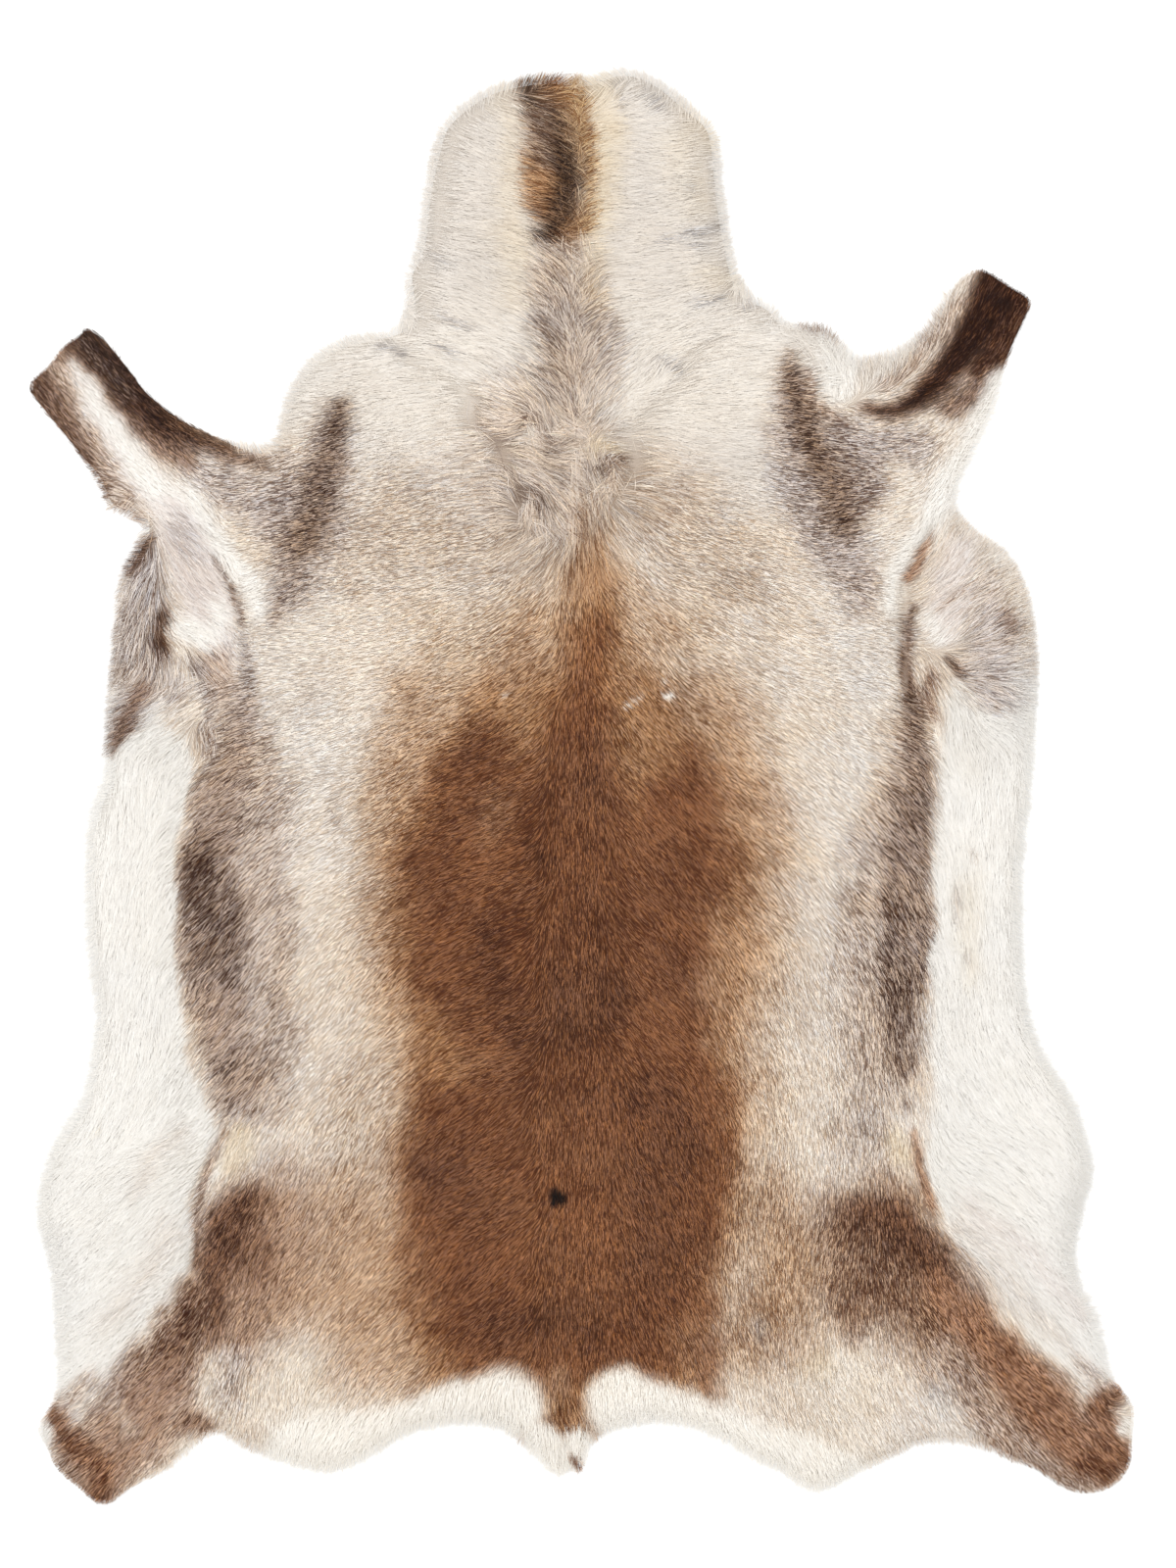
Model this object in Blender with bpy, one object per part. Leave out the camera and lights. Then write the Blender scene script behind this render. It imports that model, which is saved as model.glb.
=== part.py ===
"""A whole reindeer hide with the hair on, lying flat with its hair side up.

The hide is one skin, so it is one closed solid: a flat flesh side, a thin trimmed edge and,
on top, the height of the hair with its main folds. All lengths are metres. The origin is on
the flesh side, in the middle of the hide's length and width, +Y runs along the spine towards
the neck, +X is the hide's right side and +Z is up.
"""

from typing import NamedTuple

import bpy
import numpy as np
from mathutils import Vector
from mathutils.geometry import delaunay_2d_cdt

# Driving sizes.
EDGE_THICKNESS = 0.0025  # skin and short hair together, at the trimmed edge
PILE_ON_BACK = 0.014  # how high the hair stands over most of the body
PILE_ROUNDING = 0.030  # distance inwards over which the hair reaches its full height
EDGE_STEP = 0.011  # spacing of points along the trimmed edge
TOP_STEP = 0.024  # spacing of points over the hair side
FLESH_STEP = 0.075  # spacing of points over the flat flesh side
FOLD_STEP = 0.012  # spacing of points along a fold
FOLD_FOOT = 1.1  # where the feet of a fold lie, in half widths from its line
RING_INSETS = (0.010, 0.022)  # rows of points inside the edge, where the hair rounds off
CURVE_DETAIL = 12  # points of the smooth curve between two outline points
LEAST_GAP = 0.6  # least distance between points, as a share of their spacing

FAWN = (0.36, 0.25, 0.17, 1.0)
HAIR_ROUGHNESS = 0.75

# The outline runs clockwise, seen from above. Each section has one row (x, y) for each point.
NECK = (
    (-0.160, 0.414),
    (-0.155, 0.435),
    (-0.159, 0.458),
    (-0.147, 0.483),
    (-0.142, 0.526),
    (-0.134, 0.564),
    (-0.122, 0.598),
    (-0.080, 0.628),
    (-0.028, 0.638),
    (0.001, 0.634),
    (0.039, 0.645),
    (0.071, 0.634),
    (0.098, 0.612),
    (0.120, 0.592),
    (0.126, 0.560),
    (0.130, 0.520),
    (0.138, 0.475),
    (0.148, 0.444),
    (0.171, 0.434),
    (0.184, 0.417),
)
RIGHT_SHOULDER = (
    (0.205, 0.415),
    (0.226, 0.408),
    (0.239, 0.393),
    (0.248, 0.382),
    (0.265, 0.387),
    (0.285, 0.392),
)
RIGHT_FORELEG = (
    (0.310, 0.412),
    (0.322, 0.436),
    (0.337, 0.453),
    (0.355, 0.465),
    (0.370, 0.460),
    (0.386, 0.449),
    (0.405, 0.437),
    (0.400, 0.420),
    (0.390, 0.398),
    (0.380, 0.371),
    (0.376, 0.348),
    (0.366, 0.323),
    (0.350, 0.290),
    (0.339, 0.265),
    (0.338, 0.246),
)
RIGHT_FLANK = (
    (0.356, 0.228),
    (0.380, 0.212),
    (0.399, 0.180),
    (0.408, 0.138),
    (0.410, 0.095),
    (0.407, 0.050),
    (0.404, -0.008),
    (0.397, -0.060),
    (0.396, -0.120),
    (0.398, -0.175),
    (0.406, -0.220),
    (0.424, -0.252),
    (0.443, -0.280),
    (0.454, -0.318),
    (0.460, -0.345),
    (0.450, -0.378),
    (0.443, -0.416),
    (0.448, -0.446),
    (0.466, -0.478),
    (0.472, -0.512),
)
RIGHT_HIND_LEG = (
    (0.482, -0.536),
    (0.497, -0.557),
    (0.495, -0.584),
    (0.493, -0.610),
    (0.478, -0.628),
    (0.453, -0.635),
    (0.430, -0.628),
    (0.408, -0.613),
    (0.390, -0.607),
    (0.363, -0.595),
    (0.332, -0.589),
    (0.304, -0.591),
    (0.282, -0.601),
)
RUMP_RIGHT = (
    (0.245, -0.618),
    (0.209, -0.634),
    (0.186, -0.618),
    (0.156, -0.604),
    (0.118, -0.582),
    (0.080, -0.571),
    (0.041, -0.574),
    (0.013, -0.585),
)
TAIL = (
    (0.006, -0.598),
    (0.002, -0.617),
    (-0.008, -0.612),
    (-0.020, -0.620),
    (-0.034, -0.609),
)
RUMP_LEFT = (
    (-0.058, -0.585),
    (-0.092, -0.572),
    (-0.150, -0.579),
    (-0.184, -0.599),
    (-0.224, -0.615),
    (-0.268, -0.606),
    (-0.308, -0.590),
    (-0.328, -0.580),
)
LEFT_HIND_LEG = (
    (-0.347, -0.594),
    (-0.367, -0.612),
    (-0.400, -0.627),
    (-0.427, -0.646),
    (-0.450, -0.630),
    (-0.471, -0.611),
    (-0.480, -0.590),
    (-0.489, -0.578),
    (-0.476, -0.555),
    (-0.468, -0.525),
)
LEFT_FLANK = (
    (-0.471, -0.490),
    (-0.475, -0.430),
    (-0.487, -0.388),
    (-0.481, -0.343),
    (-0.467, -0.310),
    (-0.447, -0.281),
    (-0.440, -0.245),
    (-0.434, -0.203),
    (-0.440, -0.165),
    (-0.444, -0.112),
    (-0.443, -0.044),
    (-0.438, -0.014),
    (-0.426, 0.010),
    (-0.426, 0.060),
    (-0.421, 0.112),
    (-0.418, 0.150),
    (-0.414, 0.188),
    (-0.400, 0.214),
    (-0.391, 0.236),
)
LEFT_FORELEG = (
    (-0.405, 0.243),
    (-0.424, 0.248),
    (-0.430, 0.264),
    (-0.438, 0.279),
    (-0.453, 0.301),
    (-0.474, 0.327),
    (-0.496, 0.358),
    (-0.478, 0.377),
    (-0.464, 0.396),
    (-0.453, 0.402),
    (-0.442, 0.413),
    (-0.423, 0.398),
    (-0.404, 0.375),
    (-0.388, 0.354),
    (-0.362, 0.333),
    (-0.333, 0.318),
    (-0.298, 0.307),
)
LEFT_SHOULDER = (
    (-0.276, 0.306),
    (-0.268, 0.334),
    (-0.258, 0.362),
    (-0.240, 0.386),
    (-0.220, 0.399),
    (-0.192, 0.407),
)
OUTLINE = (
    NECK
    + RIGHT_SHOULDER
    + RIGHT_FORELEG
    + RIGHT_FLANK
    + RIGHT_HIND_LEG
    + RUMP_RIGHT
    + TAIL
    + RUMP_LEFT
    + LEFT_HIND_LEG
    + LEFT_FLANK
    + LEFT_FORELEG
    + LEFT_SHOULDER
)


class Pile(NamedTuple):
    """A stretch of hide, a soft ellipse, where the hair stands higher or lower."""

    name: str
    x: float
    y: float
    reach_x: float
    reach_y: float
    height: float


PILES = (
    Pile("neck", 0.000, 0.540, 0.150, 0.130, 0.019),
    Pile("mane", -0.022, 0.520, 0.045, 0.140, 0.026),
    Pile("withers", -0.005, 0.340, 0.060, 0.110, 0.023),
    Pile("left shoulder", -0.200, 0.330, 0.110, 0.080, 0.020),
    Pile("right shoulder", 0.210, 0.340, 0.100, 0.080, 0.020),
    Pile("left elbow", -0.375, 0.140, 0.060, 0.090, 0.017),
    Pile("right elbow", 0.365, 0.140, 0.060, 0.090, 0.018),
    Pile("left belly", -0.410, -0.100, 0.055, 0.210, 0.020),
    Pile("right belly", 0.375, -0.090, 0.055, 0.190, 0.020),
    Pile("left flank", -0.420, -0.350, 0.080, 0.120, 0.022),
    Pile("right flank", 0.400, -0.340, 0.080, 0.120, 0.022),
    Pile("left foreleg", -0.420, 0.330, 0.085, 0.075, 0.007),
    Pile("right foreleg", 0.350, 0.380, 0.060, 0.080, 0.008),
    Pile("left hind leg", -0.410, -0.570, 0.085, 0.075, 0.008),
    Pile("right hind leg", 0.420, -0.560, 0.085, 0.075, 0.008),
    Pile("rump border", -0.010, -0.570, 0.220, 0.035, 0.016),
    Pile("tail", -0.016, -0.605, 0.030, 0.035, 0.010),
)


class Fold(NamedTuple):
    """A soft ridge along a line, or a trough where its height is negative."""

    name: str
    height: float
    half_width: float
    line: tuple


FOLDS = (
    Fold(
        "left armpit",
        -0.0065,
        0.010,
        ((-0.326, 0.227), (-0.311, 0.188), (-0.305, 0.144), (-0.302, 0.100), (-0.310, 0.060)),
    ),
    Fold(
        "left armpit roll",
        0.0040,
        0.013,
        ((-0.300, 0.240), (-0.288, 0.190), (-0.282, 0.140), (-0.281, 0.095)),
    ),
    Fold(
        "right armpit",
        -0.0065,
        0.010,
        ((0.314, 0.228), (0.292, 0.185), (0.288, 0.138), (0.297, 0.065)),
    ),
    Fold(
        "right armpit roll",
        0.0040,
        0.013,
        ((0.292, 0.240), (0.270, 0.190), (0.266, 0.135), (0.275, 0.070)),
    ),
    Fold(
        "left haunch edge",
        0.0060,
        0.013,
        ((-0.300, -0.322), (-0.326, -0.360), (-0.332, -0.430), (-0.330, -0.495), (-0.314, -0.560)),
    ),
    Fold(
        "left haunch step",
        -0.0070,
        0.009,
        ((-0.322, -0.312), (-0.348, -0.356), (-0.354, -0.430), (-0.352, -0.500), (-0.338, -0.568)),
    ),
    Fold(
        "right hip",
        -0.0055,
        0.011,
        ((0.302, -0.340), (0.304, -0.372), (0.320, -0.394), (0.334, -0.418), (0.360, -0.440)),
    ),
    Fold(
        "right hip roll",
        0.0040,
        0.014,
        ((0.278, -0.345), (0.281, -0.385), (0.300, -0.415), (0.318, -0.440)),
    ),
    Fold(
        "right shoulder curl",
        0.0060,
        0.012,
        ((0.196, 0.404), (0.222, 0.396), (0.240, 0.372), (0.256, 0.352)),
    ),
    Fold(
        "right shoulder hollow",
        -0.0060,
        0.010,
        ((0.205, 0.384), (0.222, 0.366), (0.236, 0.345)),
    ),
    Fold(
        "left flank edge",
        -0.0050,
        0.012,
        ((-0.333, 0.010), (-0.362, -0.020), (-0.366, -0.090), (-0.366, -0.200), (-0.350, -0.275)),
    ),
    Fold(
        "right flank edge",
        -0.0050,
        0.012,
        ((0.316, 0.020), (0.318, -0.050), (0.310, -0.120), (0.312, -0.230)),
    ),
    Fold(
        "spine",
        0.0025,
        0.030,
        ((-0.005, 0.210), (-0.003, 0.050), (-0.004, -0.200), (-0.012, -0.540)),
    ),
)


def smooth_closed_curve(points, detail):
    """A closed Catmull-Rom curve: each stretch is a cubic whose slope at a point is half the
    step from the point before to the point after."""
    here = np.array(points)
    before, after, beyond = (np.roll(here, shift, axis=0) for shift in (1, -1, -2))
    t = np.linspace(0, 1, detail, endpoint=False)[None, :, None]
    before, here, after, beyond = (p[:, None, :] for p in (before, here, after, beyond))
    curve = 0.5 * (
        2 * here
        + (after - before) * t
        + (2 * before - 5 * here + 4 * after - beyond) * t**2
        + (3 * here - before - 3 * after + beyond) * t**3
    )
    return curve.reshape(-1, 2)


def evenly_spaced(points, step, closed=False):
    """The same path with points about one step apart, measured along it."""
    path = np.vstack([points, points[:1]]) if closed else np.array(points)
    lengths = np.linalg.norm(np.diff(path, axis=0), axis=1)
    along = np.concatenate([[0], np.cumsum(lengths)])
    count = max(2, round(along[-1] / step))
    places = np.linspace(0, along[-1], count + (not closed), endpoint=not closed)
    return np.stack([np.interp(places, along, path[:, axis]) for axis in (0, 1)], axis=1)


def distance_to_path(points, path):
    """The shortest distance from each point to a path of straight segments."""
    start = path[None, :-1]
    step = (path[1:] - path[:-1])[None]
    offset = points[:, None] - start
    along = (offset * step).sum(2) / np.maximum((step * step).sum(2), 1e-12)
    nearest = start + step * np.clip(along, 0, 1)[..., None]
    return np.linalg.norm(points[:, None] - nearest, axis=2).min(axis=1)


def is_inside(points, outline):
    """Even-odd rule: a point is inside if a line from it towards +X crosses the outline an odd
    number of times."""
    start, end = outline, np.roll(outline, -1, axis=0)
    x, y = points[:, :1], points[:, 1:]
    spans = (start[:, 1] > y) != (end[:, 1] > y)
    rise = end[:, 1] - start[:, 1]
    rise = np.where(rise == 0, 1.0, rise)
    crossing = start[:, 0] + (y - start[:, 1]) * (end[:, 0] - start[:, 0]) / rise
    return (spans & (x < crossing)).sum(axis=1) % 2 == 1


def top_height(points, edge_distance):
    """Height of the hair: the local pile, rounded off like a quarter ellipse towards the edge,
    plus every fold as a bell-shaped ridge or trough."""
    pile = np.full(len(points), PILE_ON_BACK)
    for zone in PILES:
        across = (points[:, 0] - zone.x) / zone.reach_x
        along = (points[:, 1] - zone.y) / zone.reach_y
        share = np.exp(-((across**2 + along**2) ** 2))
        pile += (zone.height - pile) * share
    inwards = np.clip(edge_distance / PILE_ROUNDING, 0, 1)
    rounding = np.sqrt(1 - (1 - inwards) ** 2)
    height = EDGE_THICKNESS + (pile - EDGE_THICKNESS) * rounding
    for fold in FOLDS:
        away = distance_to_path(points, np.array(fold.line)) / fold.half_width
        height += fold.height * np.exp(-(away**2)) * inwards
    return np.maximum(height, EDGE_THICKNESS)


def triangular_grid(low, high, step):
    """Points in staggered rows, each the same distance from its neighbours."""
    rows = np.arange(low[1], high[1], step * np.sqrt(3) / 2)
    columns = np.arange(low[0], high[0], step)
    x, y = np.meshgrid(columns, rows)
    x[1::2] += step / 2
    return np.stack([x.ravel(), y.ravel()], axis=1)


def beside(path, along, offset):
    """Each point of a path moved to its right, square to the direction it runs in there."""
    along = along / np.linalg.norm(along, axis=1)[:, None]
    return path + offset * np.stack([along[:, 1], -along[:, 0]], axis=1)


def inset_ring(outline, inset):
    """The outline moved inwards, which is to the right as it runs clockwise."""
    return beside(outline, np.roll(outline, -1, axis=0) - np.roll(outline, 1, axis=0), inset)


def fold_rows(fold):
    """Points along a fold's line and along both of its feet."""
    path = evenly_spaced(fold.line, FOLD_STEP)
    along = np.gradient(path, axis=0)
    foot = FOLD_FOOT * fold.half_width
    return np.vstack([beside(path, along, offset) for offset in (0.0, -foot, foot)])


def thinned(points, kept, step):
    """Adds to the kept points those that are at least a share of one step from all of them."""
    kept = list(kept)
    for point in points:
        gaps = np.linalg.norm(np.array(kept) - point, axis=1) if kept else np.array([step])
        if gaps.min() >= LEAST_GAP * step:
            kept.append(point)
    return kept


def inner_points(outline, ring_path, step, with_folds):
    """The points inside the outline: rings near the edge, rows on the folds, then a grid."""
    kept = []
    if with_folds:
        for fold in FOLDS:
            kept = thinned(fold_rows(fold), kept, FOLD_STEP)
        for inset in RING_INSETS:
            kept = thinned(inset_ring(outline, inset), kept, FOLD_STEP)
    grid = triangular_grid(outline.min(axis=0), outline.max(axis=0), step)
    kept = np.array(thinned(grid, kept, step))
    clear = distance_to_path(kept, ring_path) > LEAST_GAP * EDGE_STEP
    return kept[clear & is_inside(kept, outline)]


def triangulate(outline, inside):
    """Delaunay triangles within the outline. Returns the points, outline first, and faces."""
    count = len(outline)
    points = np.vstack([outline, inside])
    edges = [(i, (i + 1) % count) for i in range(count)]
    placed, _, faces, sources, _, _ = delaunay_2d_cdt(
        [Vector(p) for p in points], edges, [], 1, 1e-7
    )
    place_of = {source: i for i, found in enumerate(sources) for source in found}
    order = [place_of[i] for i in range(count)]
    order += sorted(set(range(len(placed))) - set(order))
    number = {old: new for new, old in enumerate(order)}
    return np.array([placed[i] for i in order]), [[number[i] for i in face] for face in faces]


def hide_mesh():
    """One closed mesh: the hair side, the trimmed edge and the flat flesh side."""
    curve = smooth_closed_curve(OUTLINE, CURVE_DETAIL)
    outline = evenly_spaced(curve, EDGE_STEP, closed=True)
    outline -= (outline.min(axis=0) + outline.max(axis=0)) / 2
    ring_path = np.vstack([outline, outline[:1]])
    top, top_faces = triangulate(outline, inner_points(outline, ring_path, TOP_STEP, True))
    flesh, flesh_faces = triangulate(
        outline, inner_points(outline, ring_path, FLESH_STEP, False)
    )
    height = top_height(top, distance_to_path(top, ring_path))
    first_flesh, count = len(top), len(outline)
    vertices = [(x, y, z) for (x, y), z in zip(top, height)] + [(x, y, 0.0) for x, y in flesh]
    faces = list(top_faces)
    faces += [[first_flesh + i for i in reversed(face)] for face in flesh_faces]
    for i in range(count):
        j = (i + 1) % count
        faces.append([i, j, first_flesh + j, first_flesh + i])
    mesh = bpy.data.meshes.new("hide")
    mesh.from_pydata(vertices, [], faces)
    mesh.shade_smooth()
    return mesh


def fawn_hair():
    material = bpy.data.materials.new("fawn_hair")
    material.use_nodes = True
    shader = material.node_tree.nodes["Principled BSDF"]
    shader.inputs["Base Color"].default_value = FAWN
    shader.inputs["Roughness"].default_value = HAIR_ROUGHNESS
    shader.inputs["Metallic"].default_value = 0.0
    return material


def main():
    for old in list(bpy.data.objects):
        bpy.data.objects.remove(old)
    hide = bpy.data.objects.new("hide", hide_mesh())
    hide.data.materials.append(fawn_hair())
    bpy.context.scene.collection.objects.link(hide)
    print("hide:", len(hide.data.polygons), "faces", [round(side, 4) for side in hide.dimensions])


main()
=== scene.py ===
# %% [markdown]
# # A whole reindeer hide, hair side up
# The hide is one trimmed skin: a thin suede sheet below and, on top, dense underwool with longer
# guard hairs lying over it. Its look is all in the hair: which way it lies, how long it is and
# which hairs are dark. So this lesson works out three maps of the hide with numpy, its height, its
# lie and its markings, and then grows a skin, the underwool and the hairs from those maps.

# %% Load the solid that the hide replaces
from typing import NamedTuple

import bpy
import numpy as np
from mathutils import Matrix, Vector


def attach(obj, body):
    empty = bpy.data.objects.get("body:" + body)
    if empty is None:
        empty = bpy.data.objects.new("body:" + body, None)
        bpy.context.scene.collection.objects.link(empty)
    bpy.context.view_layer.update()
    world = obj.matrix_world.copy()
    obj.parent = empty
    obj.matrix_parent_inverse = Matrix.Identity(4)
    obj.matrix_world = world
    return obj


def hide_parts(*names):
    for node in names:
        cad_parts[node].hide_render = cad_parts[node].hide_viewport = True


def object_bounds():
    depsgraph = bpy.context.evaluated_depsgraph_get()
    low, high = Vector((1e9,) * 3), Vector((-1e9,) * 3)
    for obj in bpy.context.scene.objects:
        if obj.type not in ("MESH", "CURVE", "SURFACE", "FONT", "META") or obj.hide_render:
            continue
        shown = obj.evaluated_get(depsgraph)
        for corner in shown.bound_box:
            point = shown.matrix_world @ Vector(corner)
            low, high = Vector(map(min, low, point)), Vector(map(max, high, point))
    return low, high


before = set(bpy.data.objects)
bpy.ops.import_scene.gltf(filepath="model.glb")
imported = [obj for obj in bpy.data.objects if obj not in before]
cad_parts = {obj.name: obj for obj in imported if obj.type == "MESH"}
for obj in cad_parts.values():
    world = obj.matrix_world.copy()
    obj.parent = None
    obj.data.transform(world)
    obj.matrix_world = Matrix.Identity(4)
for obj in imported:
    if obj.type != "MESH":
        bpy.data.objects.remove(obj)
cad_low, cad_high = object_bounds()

MM = 0.001
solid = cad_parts["hide"]
hide_length = cad_high.y - cad_low.y
print(f"the solid is {(cad_high.x - cad_low.x):.3f} m wide and {hide_length:.3f} m long")


def placed(name, data):
    """A new object at the origin, unturned, that shows the data in the scene."""
    made = bpy.data.objects.new(name, data)
    bpy.context.scene.collection.objects.link(made)
    return made


def points_of(mesh):
    """The mesh's points as an array of three numbers each."""
    points = np.empty(len(mesh.vertices) * 3)
    mesh.vertices.foreach_get("co", points)
    return points.reshape(-1, 3)


def in_metres(points):
    """An array in metres of points that a table gives in millimetres."""
    return np.array(points) / 1000

# %% [markdown]
# ## The studio
# A hide is shown flat on a white floor, seen from straight above, under light so soft that only
# the hair itself throws shade. A bright even world gives that light, and one wide lamp overhead
# adds a little direction. The Standard view transform keeps the white hair white.

# %% Camera, lamp, world and floor
VIEW_MARGIN = 1.0915  # the view's height, as a share of the hide's length
CAMERA_CENTRE = (0.006, 0.0025)
LENS_MM, SENSOR_MM = 100, 36
WORLD_STRENGTH = 0.88
LAMP_PLACE, LAMP_TURN = (-0.5, 0.8, 4.6), (-0.17, -0.11, 0)
LAMP_WIDTH, LAMP_POWER = 3.6, 140


def studio():
    """Puts the camera so high that the view's long side covers the hide's length and its margin."""
    scene = bpy.context.scene
    scene.view_settings.view_transform = "Standard"
    camera = bpy.data.cameras.new("overhead_camera")
    camera.lens, camera.sensor_width = LENS_MM, SENSOR_MM
    viewer = placed("overhead_camera", camera)
    viewer.location = (*CAMERA_CENTRE, hide_length * VIEW_MARGIN * LENS_MM / SENSOR_MM)
    scene.camera = viewer
    lamp = bpy.data.lights.new("overhead_lamp", "AREA")
    lamp.size, lamp.energy = LAMP_WIDTH, LAMP_POWER
    softbox = placed("overhead_lamp", lamp)
    softbox.location, softbox.rotation_euler = LAMP_PLACE, LAMP_TURN
    world = bpy.data.worlds.new("white_room")
    world.use_nodes = True
    light = world.node_tree.nodes["Background"]
    light.inputs["Color"].default_value = (1, 1, 1, 1)
    light.inputs["Strength"].default_value = WORLD_STRENGTH
    scene.world = world
    print(f"camera at {viewer.location.z:.2f} m")


studio()

# %% [markdown]
# ## Shader maths as expressions
# Shader graphs are easier to read as sums than as wires. `Number` wraps one socket, so that
# `1 - mask * 0.3` adds its own Math nodes, and `Finish.node` makes any other node in one line.


# %% Helpers for materials
class Number:
    """One number socket of a node tree. Arithmetic on it adds Math nodes to the tree."""

    def __init__(self, tree, socket):
        self.tree, self.socket = tree, socket

    def maths(self, operation, first, second):
        node = self.tree.nodes.new("ShaderNodeMath")
        node.operation = operation
        for slot, value in zip(node.inputs, (first, second)):
            if isinstance(value, Number):
                self.tree.links.new(value.socket, slot)
            else:
                slot.default_value = value
        return Number(self.tree, node.outputs[0])

    def __add__(self, other):
        return self.maths("ADD", self, other)

    def __sub__(self, other):
        return self.maths("SUBTRACT", self, other)

    def __rsub__(self, other):
        return self.maths("SUBTRACT", other, self)

    def __mul__(self, other):
        return self.maths("MULTIPLY", self, other)

    __radd__ = __add__
    __rmul__ = __mul__


class Finish:
    """A new material with one Principled shader. `fixed` holds the shader's constant sockets."""

    def __init__(self, name, **fixed):
        self.material = bpy.data.materials.new(name)
        self.material.use_nodes = True
        self.tree = self.material.node_tree
        self.shader = self.tree.nodes["Principled BSDF"]
        for label, value in fixed.items():
            self.shader.inputs[label.replace("_", " ")].default_value = value

    def paint(self, colour, roughness, height, **bump):
        """Links the colour, the roughness and the relief, the three things that vary."""
        self.put(self.shader.inputs["Base Color"], colour)
        self.put(self.shader.inputs["Roughness"], roughness)
        self.put(self.shader.inputs["Normal"], self.node("Bump", Height=height, **bump))
        return self.material

    def node(self, kind, settings=None, output=0, **sockets):
        """Adds a node, sets its settings, then its sockets, and returns one output."""
        made = self.tree.nodes.new("ShaderNode" + kind)
        for label, value in (settings or {}).items():
            setattr(made, label, value)
        for label, value in sockets.items():
            self.put(made.inputs[label.replace("_", " ")], value)
        socket = made.outputs[output]
        return Number(self.tree, socket) if socket.type == "VALUE" else socket

    def put(self, socket, value):
        if isinstance(value, Number):
            value = value.socket
        if isinstance(value, bpy.types.NodeSocket):
            self.tree.links.new(value, socket)
        else:
            socket.default_value = value

    def mix(self, share, first, second, blend="MIX"):
        """A colour between two colours, or one laid on the other with a blend mode."""
        made = self.tree.nodes.new("ShaderNodeMix")
        made.data_type, made.blend_type = "RGBA", blend
        for index, value in ((0, share), (6, first), (7, second)):
            self.put(made.inputs[index], value)
        return made.outputs[2]


def to_linear(screen):
    """Screen values from 0 to 1 as linear light, by the usual curve of screens."""
    return np.where(screen <= 0.04045, screen / 12.92, ((screen + 0.055) / 1.055) ** 2.4)


def linear(red, green, blue):
    """The linear colour of a screen colour given as three numbers from 0 to 255."""
    return (*to_linear(np.array((red, green, blue), float) / 255), 1.0)


# %% [markdown]
# ## The floor
# Studio paper is pale and even, with a hardly visible tooth. It only has to catch the soft shade
# under the hide's edge.

# %% Floor
FLOOR_WIDTH = 9.0


def paper_floor():
    """A square of four corners at the height of the hide's flesh side, with a paper finish."""
    half = FLOOR_WIDTH / 2
    mesh = bpy.data.meshes.new("paper_floor")
    corners = [(-half, -half, 0), (half, -half, 0), (half, half, 0), (-half, half, 0)]
    mesh.from_pydata(corners, [], [(0, 1, 2, 3)])
    finish = Finish("studio_paper", Roughness=0.9, Specular_IOR_Level=0.1)
    place = finish.node("TexCoord", output=3)
    tooth = finish.node("TexNoise", Vector=place, Scale=260.0, Detail=3.0)
    white, shaded = linear(248, 248, 247), linear(243, 243, 242)
    finish.put(finish.shader.inputs["Base Color"], finish.mix(tooth, white, shaded))
    mesh.materials.append(finish.material)
    floor = placed("paper_floor", mesh)
    return floor


floor = paper_floor()

# %% [markdown]
# ## A map of the hide
# Everything that follows is a field over the hide: a number for each place. All fields share one
# square grid, 3 mm between its points, and are read between the points by blending the four
# nearest ones. That turns slow questions, such as how far a hair is from the edge, into one
# lookup for all hairs at once.

# %% The grid and how a field is read
MAP_STEP = 3 * MM
MAP_MARGIN = 45 * MM

map_x = np.arange(cad_low.x - MAP_MARGIN, cad_high.x + MAP_MARGIN, MAP_STEP)
map_y = np.arange(cad_low.y - MAP_MARGIN, cad_high.y + MAP_MARGIN, MAP_STEP)
grid_x, grid_y = np.meshgrid(map_x, map_y, indexing="ij")


class Field:
    """Values on the map's grid. `at` blends the four grid values around each place."""

    def __init__(self, values):
        self.values = values

    def at(self, x, y):
        across = np.clip((x - map_x[0]) / MAP_STEP, 0, len(map_x) - 1.001)
        along = np.clip((y - map_y[0]) / MAP_STEP, 0, len(map_y) - 1.001)
        i, j = across.astype(int), along.astype(int)
        u, v = across - i, along - j
        if self.values.ndim == 3:
            u, v = u[..., None], v[..., None]
        low = self.values[i, j] * (1 - u) + self.values[i + 1, j] * u
        high = self.values[i, j + 1] * (1 - u) + self.values[i + 1, j + 1] * u
        return low * (1 - v) + high * v


def blurred(values, passes):
    """Each pass replaces a value by the mean of itself and its neighbours, first across, then along."""
    for _ in range(passes):
        padded = np.pad(values, ((1, 1), (0, 0)), mode="edge")
        values = (padded[:-2] + 2 * padded[1:-1] + padded[2:]) / 4
        padded = np.pad(values, ((0, 0), (1, 1)), mode="edge")
        values = (padded[:, :-2] + 2 * padded[:, 1:-1] + padded[:, 2:]) / 4
    return values


print(f"the map has {grid_x.size} points")

# %% [markdown]
# ## Noise
# Hair varies at every scale, from single hairs to tufts to whole cloudy patches. Value noise gives
# such variation: random numbers on a coarse lattice, blended smoothly in between. Adding it at
# several sizes, each half the last, makes clouds.


# %% Smooth noise
LATTICE, LATTICE_START = 512, 200.5  # it repeats past its last row


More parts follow.
